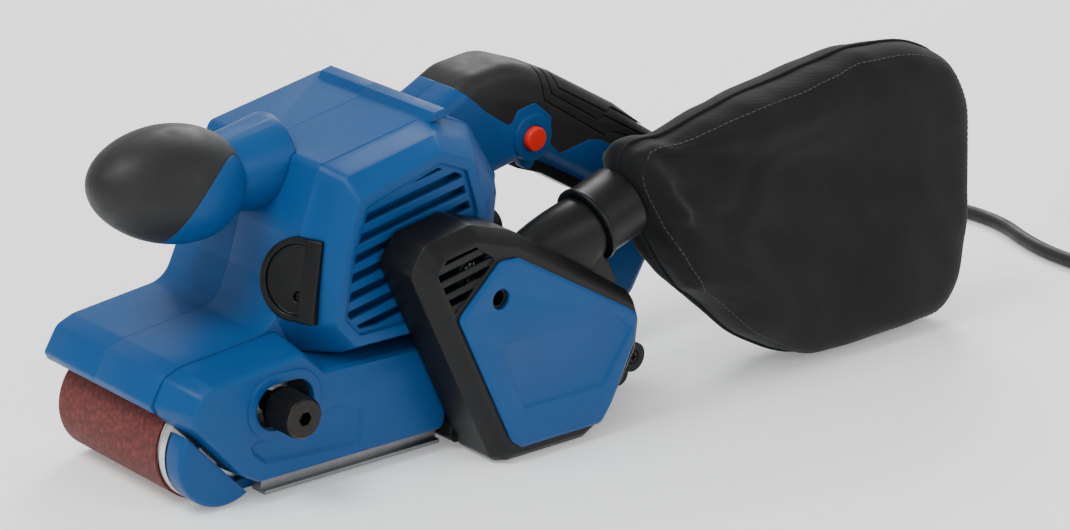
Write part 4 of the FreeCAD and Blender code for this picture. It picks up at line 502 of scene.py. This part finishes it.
@dataclass
class MainsCord:
    """Rubber mains lead: free run, stored coil, plug and ribbed strain relief."""

    diameter: float = 8.0
    length: float = 2.5
    guard_length: float = 42.0
    turns: float = 6.125
    points_per_turn: int = 12

    def route(self) -> list[Vector]:
        """Control points of the whole lead, in metres."""
        free = [(259.6, 0, 56.8), (283.6, 0, 38.8), (315, 10, 19), (355, 33, 7.5), (400, 55, FLOOR), (446, 62, FLOOR),
                (478, 39, FLOOR), (484, -2, FLOOR), (467, -42, FLOOR), (464, -76, FLOOR), (471, -107, FLOOR),
                (496, -128, FLOOR), (530, -132, FLOOR)]
        lanes = [(58.0, FLOOR), (49.8, FLOOR), (41.6, FLOOR), (42.0, 12.6), (50.0, 12.7), (58.0, 12.8), (58.2, 12.9)]
        coil = []
        steps = int(self.turns * self.points_per_turn)
        for step in range(steps + 1):
            turn = step / self.points_per_turn
            lane = min(int(turn), len(lanes) - 1)
            after = min(lane + 1, len(lanes) - 1)
            share = max(0.0, (turn - lane) * 3.0 - 2.0)
            radius = lanes[lane][0] * (1 - share) + lanes[after][0] * share
            height = lanes[lane][1] * (1 - share) + lanes[after][1] * share
            angle = math.pi * (2 * turn - 0.5)
            coil.append((COIL_CENTRE[0] + radius * math.cos(angle), COIL_CENTRE[1] + radius * math.sin(angle), height))
        tail = [(632, -97, 13.2), (648, -78, 14.6), (658, -56, 17.6), (661, -30, 17.8)]
        return metres(free + coil + tail)

    def lead(self, material: bpy.types.Material) -> bpy.types.Object:
        """Makes the lead as one smooth spline."""
        curve = bpy.data.curves.new("power_cord_line", "CURVE")
        curve.dimensions = "3D"
        curve.bevel_depth = self.diameter / 2 * MM
        curve.bevel_resolution = 6
        curve.use_fill_caps = True
        route = self.route()
        spline = curve.splines.new("NURBS")
        spline.points.add(len(route) - 1)
        for point, place in zip(spline.points, route):
            point.co = (*place, 1.0)
        spline.order_u = 3
        spline.use_endpoint_u = True
        spline.resolution_u = 8
        curve.materials.append(material)
        piece = bpy.data.objects.new("power_cord_line", curve)
        bpy.context.scene.collection.objects.link(piece)
        return piece

    def strain_relief(self, material: bpy.types.Material) -> bpy.types.Object:
        """Tapered sleeve with open ribs on the cord's exit."""
        heading = Vector((0.80, 0.0, -0.60))
        start = Vector((226.0, 0.0, 82.0)) - heading * 14.0
        profile = [(0.0, 0.0), (6.4, 0.0), (6.4, 14.5)]
        rings = 9
        first, last = 16.5, 52.0
        for ring in range(rings):
            share = ring / (rings - 1)
            middle = first + (last - first) * share
            outer = 6.3 - 1.5 * share
            profile += [(outer - 0.9, middle - 1.6), (outer - 0.9, middle - 1.1), (outer, middle - 0.8),
                        (outer, middle + 1.0), (outer - 0.9, middle + 1.3)]
        profile += [(5.0, 54.0), (5.0, 55.7), (4.3, 56.0), (0.0, 56.0)]
        return lathe("cord_strain_relief", profile, start * MM, heading, material, 40)

    def build(self, palette: Palette) -> None:
        line = self.lead(palette.sheath)
        stand_for(line, Body.MACHINE, "cord_sheath", "power_cord", "cord_coil")
        relief = self.strain_relief(palette.rubber)
        stand_for(relief, Body.MACHINE, "soft_grip", "cord_guard")
        dress("plug_body", palette.sheath)
        dress("plug_pins", palette.brass)


def lathe(name: str, profile: Sequence[tuple[float, float]], start: Vector, heading: Vector,
          material: bpy.types.Material, sides: int = 48, angle: float = 32.0) -> bpy.types.Object:
    """Solid of revolution about a line.

    Args:
        name: the piece's name.
        profile: (radius, distance) pairs in millimetres, from axis to axis.
        start: the line's first point in metres.
        heading: the line's direction.
        material: the finish.
        sides: faces round the axis.
        angle: sharpest edge in degrees that still shades smooth.

    Returns:
        The closed piece.
    """
    axis = heading.normalized()
    side = axis.orthogonal().normalized()
    cross = axis.cross(side)
    points, faces = [], []
    for radius, distance in profile:
        for step in range(sides):
            turn = 2 * math.pi * step / sides
            around = side * math.cos(turn) + cross * math.sin(turn)
            points.append(start + axis * distance * MM + around * radius * MM)
    for row in range(len(profile) - 1):
        for step in range(sides):
            after = (step + 1) % sides
            faces.append((row * sides + step, row * sides + after, (row + 1) * sides + after, (row + 1) * sides + step))
    mesh = mesh_from(name, points, faces)
    soften(mesh, angle)
    return new_object(name, mesh, material)


# ---------------------------------------------------------------- casing
@dataclass
class Casing:
    """Blue housing shells, nose guard, side panel and black caps."""

    edge: float = 0.0009

    def build(self, palette: Palette) -> None:
        blue = ("housing_left", "housing_right", "side_panel", "roller_guard")
        for node in blue:
            piece = moulded(node, node + "_shell", palette.blue, self.edge)
            stand_for(piece, Body.MACHINE, "blue_housing", node)
        for node in ("brush_cap_front", "brush_cap_rear"):
            piece = moulded(node, node + "_shell", palette.black, self.edge * 0.6)
            stand_for(piece, Body.MACHINE, "black_housing", node)
        dress("case_screws", palette.dark_steel)
        dress("edge_strip", palette.skid)


@dataclass
class DriveCover:
    """Black cover over the toothed belt with its raised blue panel."""

    edge: float = 0.0008

    def build(self, palette: Palette) -> None:
        base = moulded("drive_cover_base", "drive_cover_shell", palette.black, self.edge)
        stand_for(base, Body.MACHINE, "black_housing", "drive_cover_base")
        panel = moulded("drive_cover_panel", "drive_cover_badge_panel", palette.blue, self.edge)
        stand_for(panel, Body.MACHINE, "blue_housing", "drive_cover_panel")
        dress("drive_cover_screws", palette.dark_steel)


@dataclass
class FrontKnob:
    """Egg-shaped front grip on its blue core."""

    def build(self, palette: Palette) -> None:
        for node, material, slot in (("knob_core", palette.blue, "blue_housing"),
                                     ("knob_grip_left", palette.rubber, "soft_grip"),
                                     ("knob_grip_right", palette.rubber, "soft_grip")):
            piece = moulded(node, node + "_skin", material, 0.0004)
            stand_for(piece, Body.MACHINE, slot, node)


@dataclass
class RearHandle:
    """D handle with its soft grip, trigger and lock button."""

    def build(self, palette: Palette) -> None:
        for node, material, slot in (("handle_left", palette.blue, "blue_housing"),
                                     ("handle_right", palette.blue, "blue_housing"),
                                     ("handle_grip", palette.rubber, "soft_grip")):
            piece = moulded(node, node + "_skin", material, 0.0005)
            stand_for(piece, Body.MACHINE, slot, node)
        button = moulded("lock_button", "lock_button_cap", palette.red, 0.0006)
        stand_for(button, Body.BUTTON, "red_button", "lock_button")
        lever = moulded("trigger", "trigger_lever", palette.black, 0.0012)
        stand_for(lever, Body.TRIGGER, "black_housing", "trigger")


@dataclass
class DustCollector:
    """Duct, collar and cloth bag."""

    port: Point = (106.0, -70.0, 97.5)
    tilt: float = 20.0
    plane: float = -72.0
    voxel: float = 0.0045
    most: float = 0.010
    edge_give: float = 0.25
    frames: int = 20
    pleat_depth: float = 0.0021
    slack_depth: float = 0.0030
    ripple_depth: float = 0.0011
    welt_radius: float = 0.0011
    stitch_inset: float = 0.004

    def axis(self) -> Vector:
        """Direction in which the bag pulls off."""
        angle = math.radians(self.tilt)
        return Vector((math.cos(angle), 0.0, math.sin(angle)))

    def along(self, place: Vector) -> tuple[float, float]:
        """Distance along the port's axis, and away from it, in metres."""
        offset = place - Vector(self.port) * MM
        length = offset.dot(self.axis())
        return length, (offset - self.axis() * length).length

    def cloth_shape(self, material: bpy.types.Material) -> bpy.types.Object:
        """Bag's rounded start shape, slightly slack."""
        piece = welded_copy("dust_bag", "dust_bag_cloth", material)
        remesh = piece.modifiers.new("grid", "REMESH")
        remesh.mode = "VOXEL"
        remesh.voxel_size = self.voxel
        smooth = piece.modifiers.new("rounding", "SMOOTH")
        smooth.factor = 0.5
        smooth.iterations = 14
        settle(piece)
        return piece

    def inflate(self, piece: bpy.types.Object) -> None:
        """Blows the bag up as cloth, then caps how far any point has moved."""
        start = [vertex.co.copy() for vertex in piece.data.vertices]
        pinned = piece.vertex_groups.new(name="mouth")
        for vertex in piece.data.vertices:
            length, away = self.along(vertex.co)
            if length < 0.034 and away < 0.05:
                pinned.add([vertex.index], 1.0, "REPLACE")
        cloth = piece.modifiers.new("cloth", "CLOTH")
        settings = cloth.settings
        settings.quality = 6
        settings.mass = 0.12
        settings.use_pressure = True
        settings.uniform_pressure_force = 3.0
        settings.shrink_min = -0.045
        settings.shrink_max = -0.045
        settings.tension_stiffness = 12.0
        settings.compression_stiffness = 6.0
        settings.shear_stiffness = 4.0
        settings.bending_stiffness = 0.12
        settings.vertex_group_mass = "mouth"
        settings.effector_weights.gravity = 0.35
        cloth.collision_settings.use_self_collision = False
        scene = bpy.context.scene
        scene.frame_start, scene.frame_end = 1, self.frames
        cloth.point_cache.frame_start, cloth.point_cache.frame_end = 1, self.frames
        for step in range(1, self.frames + 1):
            scene.frame_set(step)
        settle(piece)
        scene.frame_set(1)
        for vertex, place in zip(piece.data.vertices, start):
            move = vertex.co - place
            flat = Vector((move.x, 0.0, move.z)) * self.edge_give
            move = flat + Vector((0.0, move.y, 0.0))
            vertex.co = place + (move * (self.most / move.length) if move.length > self.most else move)

    def crease(self, piece: bpy.types.Object) -> None:
        """Presses folds into the cloth: gathers at the mouth, slack waves and edge lumps."""
        axis = self.axis()
        side = Vector((0.0, 1.0, 0.0))
        up = axis.cross(side)
        moves = []
        for vertex in piece.data.vertices:
            place = vertex.co
            length, away = self.along(place)
            offset = place - Vector(self.port) * MM - axis * length
            turn = math.atan2(offset.dot(up), offset.dot(side))
            begin = min(1.0, max(0.0, (away - 0.0190) / 0.012))
            gather = begin * math.exp(-max(0.0, length - 0.012) / 0.055)
            wander = noise.noise(Vector((math.cos(turn), math.sin(turn), length * 14.0)) * 1.6)
            pleat = math.sin(9.0 * turn + 3.0 * wander + length * 22.0)
            slack = noise.noise(place * 17.0 + Vector((3.1, 0.4, 7.7)))
            ripple = noise.noise(Vector((place.x * 46.0 + place.z * 20.0, place.y * 30.0, place.z * 26.0)))
            edge = min(1.0, max(0.0, (length - 0.03) / 0.03))
            moves.append(self.pleat_depth * gather * pleat + edge * (self.slack_depth * slack + self.ripple_depth * ripple))
        normals = [vertex.normal.copy() for vertex in piece.data.vertices]
        for vertex, normal, move in zip(piece.data.vertices, normals, moves):
            vertex.co += normal * move

    def bag(self, material: bpy.types.Material) -> bpy.types.Object:
        """Makes the whole bag."""
        piece = self.cloth_shape(material)
        self.inflate(piece)
        finer = piece.modifiers.new("finer", "SUBSURF")
        finer.levels = finer.render_levels = 1
        settle(piece)
        self.crease(piece)
        piece.data.shade_smooth()
        return piece

    def rim(self, bag: bpy.types.Object) -> list[Vector]:
        """Points of the bag's outer edge where its two panels meet, in order."""
        bm = bmesh.new()
        bm.from_mesh(bag.data)
        cut = bmesh.ops.bisect_plane(bm, geom=bm.verts[:] + bm.edges[:] + bm.faces[:], dist=1e-6,
                                     plane_co=Vector((0, self.plane * MM, 0)), plane_no=Vector((0, 1, 0)))
        edges = [item for item in cut["geom_cut"] if isinstance(item, bmesh.types.BMEdge)]
        bm.verts.index_update()
        links: dict[int, list[bmesh.types.BMVert]] = {}
        for edge in edges:
            one, two = edge.verts
            links.setdefault(one.index, []).append(two)
            links.setdefault(two.index, []).append(one)
        bm.verts.ensure_lookup_table()
        farthest = max(links, key=lambda index: bm.verts[index].co.x)
        loop, last, current = [], None, bm.verts[farthest]
        while True:
            loop.append(current.co.copy())
            onward = [vertex for vertex in links[current.index] if vertex is not last]
            if not onward or (len(loop) > 3 and onward[0].index == farthest):
                break
            last, current = current, onward[0]
            if current.index == farthest:
                break
        bm.free()
        return [place for place in loop if self.along(place)[0] > 0.02]

    def seam(self, bag: bpy.types.Object, material: bpy.types.Material) -> bpy.types.Object:
        """Narrow welt sewn along the bag's rim."""
        loop = self.rim(bag)
        middle = Vector((0.25, self.plane * MM, 0.085))
        reach = 4
        evened = []
        for index in range(0, len(loop), 3):
            inner = reach < index < len(loop) - reach - 1
            around = loop[index - reach:index + reach + 1] if inner else [loop[index]]
            evened.append(sum(around, Vector()) / len(around))
        curve = bpy.data.curves.new("dust_bag_welt", "CURVE")
        curve.dimensions = "3D"
        curve.bevel_depth = self.welt_radius
        curve.bevel_resolution = 3
        spline = curve.splines.new("POLY")
        spline.points.add(len(evened) - 1)
        for point, place in zip(spline.points, evened):
            outward = (place - middle).normalized() * 0.0004
            point.co = (*(place + outward), 1.0)
        curve.materials.append(material)
        piece = bpy.data.objects.new("dust_bag_welt", curve)
        bpy.context.scene.collection.objects.link(piece)
        return piece

    def stitches(self, bag: bpy.types.Object, material: bpy.types.Material) -> bpy.types.Object:
        """Row of thread stitches just inside the welt, made by a node tree."""
        loop = self.rim(bag)
        middle = sum(loop, Vector()) / len(loop)
        line = [place + (middle - place).normalized() * self.stitch_inset for place in loop[::4]]
        surface = BVHTree.FromObject(bag, bpy.context.evaluated_depsgraph_get())
        seats = []
        for place in line:
            hit = surface.ray_cast(place - Vector((0.0, 0.08, 0.0)), Vector((0.0, 1.0, 0.0)))[0]
            if hit:
                seats.append(hit)
        return StitchRow("dust_bag_stitches", seats).build(material)

    def build(self, palette: Palette) -> None:
        duct = moulded("dust_duct", "dust_duct_shell", palette.black, 0.0006)
        stand_for(duct, Body.MACHINE, "black_housing", "dust_duct")
        collar = moulded("bag_collar", "bag_collar_ring", palette.black, 0.0006)
        stand_for(collar, Body.DUST, "black_housing", "bag_collar")
        bag = self.bag(palette.cloth)
        stand_for(bag, Body.DUST, "bag_fabric", "dust_bag")
        stand_for(self.seam(bag, palette.cloth), Body.DUST, "bag_fabric")
        stand_for(self.stitches(bag, palette.thread), Body.DUST, "bag_fabric")


# ---------------------------------------------------------------- repeated details
@dataclass(frozen=True)
class RidgeRing:
    """Ring of straight ridges round a cylinder, made by a node tree."""

    name: str
    centre: Point
    radius: float
    length: float
    count: int
    depth: float

    def tree(self, material: bpy.types.Material) -> bpy.types.NodeTree:
        """Node tree with named inputs that sets ridges on a circle."""
        tree = bpy.data.node_groups.new(self.name + "_nodes", "GeometryNodeTree")
        face = tree.interface
        face.new_socket("Geometry", in_out="INPUT", socket_type="NodeSocketGeometry")
        for label in ("Radius", "Length", "Ridge Width", "Ridge Height"):
            face.new_socket(label, in_out="INPUT", socket_type="NodeSocketFloat")
        face.new_socket("Count", in_out="INPUT", socket_type="NodeSocketInt")
        face.new_socket("Centre", in_out="INPUT", socket_type="NodeSocketVector")
        face.new_socket("Geometry", in_out="OUTPUT", socket_type="NodeSocketGeometry")
        nodes, links = tree.nodes, tree.links
        given = nodes.new("NodeGroupInput")
        result = nodes.new("NodeGroupOutput")
        ridge = nodes.new("GeometryNodeMeshCylinder")
        ridge.inputs["Vertices"].default_value = 4
        ridge.fill_type = "NGON"
        links.new(given.outputs["Ridge Height"], ridge.inputs["Radius"])
        links.new(given.outputs["Length"], ridge.inputs["Depth"])
        circle = nodes.new("GeometryNodeMeshCircle")
        links.new(given.outputs["Count"], circle.inputs["Vertices"])
        links.new(given.outputs["Radius"], circle.inputs["Radius"])
        place = nodes.new("GeometryNodeInstanceOnPoints")
        links.new(circle.outputs["Mesh"], place.inputs["Points"])
        links.new(ridge.outputs["Mesh"], place.inputs["Instance"])
        position = nodes.new("GeometryNodeInputPosition")
        aim = nodes.new("FunctionNodeAlignRotationToVector")
        aim.axis = "X"
        aim.pivot_axis = "Z"
        links.new(position.outputs["Position"], aim.inputs["Vector"])
        links.new(aim.outputs["Rotation"], place.inputs["Rotation"])
        squeeze = nodes.new("ShaderNodeCombineXYZ")
        ratio = nodes.new("ShaderNodeMath")
        ratio.operation = "DIVIDE"
        links.new(given.outputs["Ridge Width"], ratio.inputs[0])
        links.new(given.outputs["Ridge Height"], ratio.inputs[1])
        squeeze.inputs["X"].default_value = 1.0
        squeeze.inputs["Z"].default_value = 1.0
        links.new(ratio.outputs[0], squeeze.inputs["Y"])
        links.new(squeeze.outputs[0], place.inputs["Scale"])
        real = nodes.new("GeometryNodeRealizeInstances")
        links.new(place.outputs["Instances"], real.inputs["Geometry"])
        turn = nodes.new("GeometryNodeTransform")
        turn.inputs["Rotation"].default_value = (math.pi / 2, 0.0, 0.0)
        links.new(given.outputs["Centre"], turn.inputs["Translation"])
        links.new(real.outputs["Geometry"], turn.inputs["Geometry"])
        paint = nodes.new("GeometryNodeSetMaterial")
        paint.inputs["Material"].default_value = material
        links.new(turn.outputs["Geometry"], paint.inputs["Geometry"])
        links.new(paint.outputs["Geometry"], result.inputs["Geometry"])
        return tree

    def build(self, material: bpy.types.Material) -> bpy.types.Object:
        """Makes the ridges as one plain mesh."""
        values = {"Radius": self.radius * MM, "Length": self.length * MM, "Ridge Width": self.depth * MM * 1.1,
                  "Ridge Height": self.depth * MM, "Count": self.count, "Centre": tuple(Vector(self.centre) * MM)}
        return run_tree(self.name, self.tree(material), values, material)


@dataclass(frozen=True)
class StitchRow:
    """Row of short thread stitches along a line, made by a node tree."""

    name: str
    line: list[Vector]
    thread: float = 0.00035
    stitch: float = 0.0024
    pitch: float = 0.0034

    def tree(self, material: bpy.types.Material) -> bpy.types.NodeTree:
        """Node tree with named inputs that sets one stitch at each pitch."""
        tree = bpy.data.node_groups.new(self.name + "_nodes", "GeometryNodeTree")
        face = tree.interface
        face.new_socket("Geometry", in_out="INPUT", socket_type="NodeSocketGeometry")
        for label in ("Pitch", "Stitch Length", "Thread Radius"):
            face.new_socket(label, in_out="INPUT", socket_type="NodeSocketFloat")
        face.new_socket("Geometry", in_out="OUTPUT", socket_type="NodeSocketGeometry")
        nodes, links = tree.nodes, tree.links
        given = nodes.new("NodeGroupInput")
        result = nodes.new("NodeGroupOutput")
        path = nodes.new("GeometryNodeMeshToCurve")
        spread = nodes.new("GeometryNodeCurveToPoints")
        spread.mode = "LENGTH"
        stitch = nodes.new("GeometryNodeMeshCylinder")
        stitch.inputs["Vertices"].default_value = 6
        place = nodes.new("GeometryNodeInstanceOnPoints")
        aim = nodes.new("FunctionNodeAlignRotationToVector")
        aim.axis = "Z"
        real = nodes.new("GeometryNodeRealizeInstances")
        paint = nodes.new("GeometryNodeSetMaterial")
        paint.inputs["Material"].default_value = material
        links.new(given.outputs["Geometry"], path.inputs["Mesh"])
        links.new(path.outputs["Curve"], spread.inputs["Curve"])
        links.new(given.outputs["Pitch"], spread.inputs["Length"])
        links.new(given.outputs["Thread Radius"], stitch.inputs["Radius"])
        links.new(given.outputs["Stitch Length"], stitch.inputs["Depth"])
        links.new(spread.outputs["Points"], place.inputs["Points"])
        links.new(stitch.outputs["Mesh"], place.inputs["Instance"])
        links.new(spread.outputs["Tangent"], aim.inputs["Vector"])
        links.new(aim.outputs["Rotation"], place.inputs["Rotation"])
        links.new(place.outputs["Instances"], real.inputs["Geometry"])
        links.new(real.outputs["Geometry"], paint.inputs["Geometry"])
        links.new(paint.outputs["Geometry"], result.inputs["Geometry"])
        return tree

    def build(self, material: bpy.types.Material) -> bpy.types.Object:
        """Makes the stitches as one plain mesh."""
        values = {"Pitch": self.pitch, "Stitch Length": self.stitch, "Thread Radius": self.thread}
        return run_tree(self.name, self.tree(material), values, material, self.line)


def run_tree(name: str, tree: bpy.types.NodeTree, values: dict[str, object],
             material: bpy.types.Material, line: Sequence[Vector] = ()) -> bpy.types.Object:
    """Runs a node tree and keeps the result as a plain mesh.

    Args:
        name: the new piece's name.
        tree: the node tree.
        values: the tree's named inputs.
        material: the finish.
        line: points of an open line that the tree follows, if any.

    Returns:
        The new piece.
    """
    mesh = bpy.data.meshes.new(name)
    mesh.from_pydata(list(line), [(i, i + 1) for i in range(len(line) - 1)], [])
    piece = new_object(name, mesh)
    modifier = piece.modifiers.new("nodes", "NODES")
    modifier.node_group = tree
    for item in tree.interface.items_tree:
        if item.in_out == "INPUT" and item.name in values:
            modifier[item.identifier] = values[item.name]
    settle(piece)
    if not piece.data.materials:
        piece.data.materials.append(material)
    return piece


@dataclass(frozen=True)
class TrackingScrew:
    """Knurled belt-tracking screw."""

    centre: Point = (-69.0, -74.0, 46.7)

    def build(self, palette: Palette) -> None:
        """Dresses the screw and adds its knurl."""
        dress("tracking_knob", palette.dark_steel)
        knurl = RidgeRing("tracking_knurl", self.centre, 9.35, 15.0, 44, 0.55).build(palette.black)
        stand_for(knurl, Body.TRACKING, "black_housing")


@dataclass
class Works:
    """Belt, rollers, chassis and everything inside the casing."""

    def build(self, palette: Palette) -> None:
        """Dresses the nodes that keep their CAD shape."""
        finishes = {
            "sanding_belt": palette.grit, "chassis": palette.alloy, "platen_cushion": palette.rubber,
            "platen_plate": palette.steel, "front_fork": palette.alloy, "tension_slide": palette.alloy,
            "front_roller": palette.alloy, "drive_roller_core": palette.alloy, "drive_roller_lagging": palette.rubber,
            "toothed_drive_belt": palette.rubber, "front_axle": palette.steel, "fork_pivot_pin": palette.steel,
            "lever_pivot_pin": palette.steel, "trigger_pin": palette.steel, "drive_shaft": palette.steel,
            "driven_pulley": palette.steel, "motor_pulley": palette.steel, "motor_shaft": palette.steel,
            "front_roller_bearings": palette.steel, "drive_shaft_bearings": palette.steel,
            "motor_bearings": palette.steel, "tension_spring": palette.steel, "stator_core": palette.steel,
            "armature_core": palette.steel, "stator_windings": palette.copper, "armature_windings": palette.copper,
            "commutator": palette.copper, "carbon_brushes": palette.carbon, "brush_holders": palette.brass,
            "switch_body": palette.black, "cooling_fan": palette.black, "tension_lever": palette.black,
        }
        for node, material in finishes.items():
            dress(node, material)


def main() -> None:
    """Builds the studio, the cord and every sub-assembly in order."""
    logging.basicConfig(level=logging.INFO, format="%(message)s")
    palette = Palette()
    Studio().build(PlainFloor().build())
    MainsCord().build(palette)
    for assembly in (Casing(), DriveCover(), FrontKnob(), RearHandle(), DustCollector(), TrackingScrew(), Works()):
        assembly.build(palette)


if __name__ == "__main__":
    main()
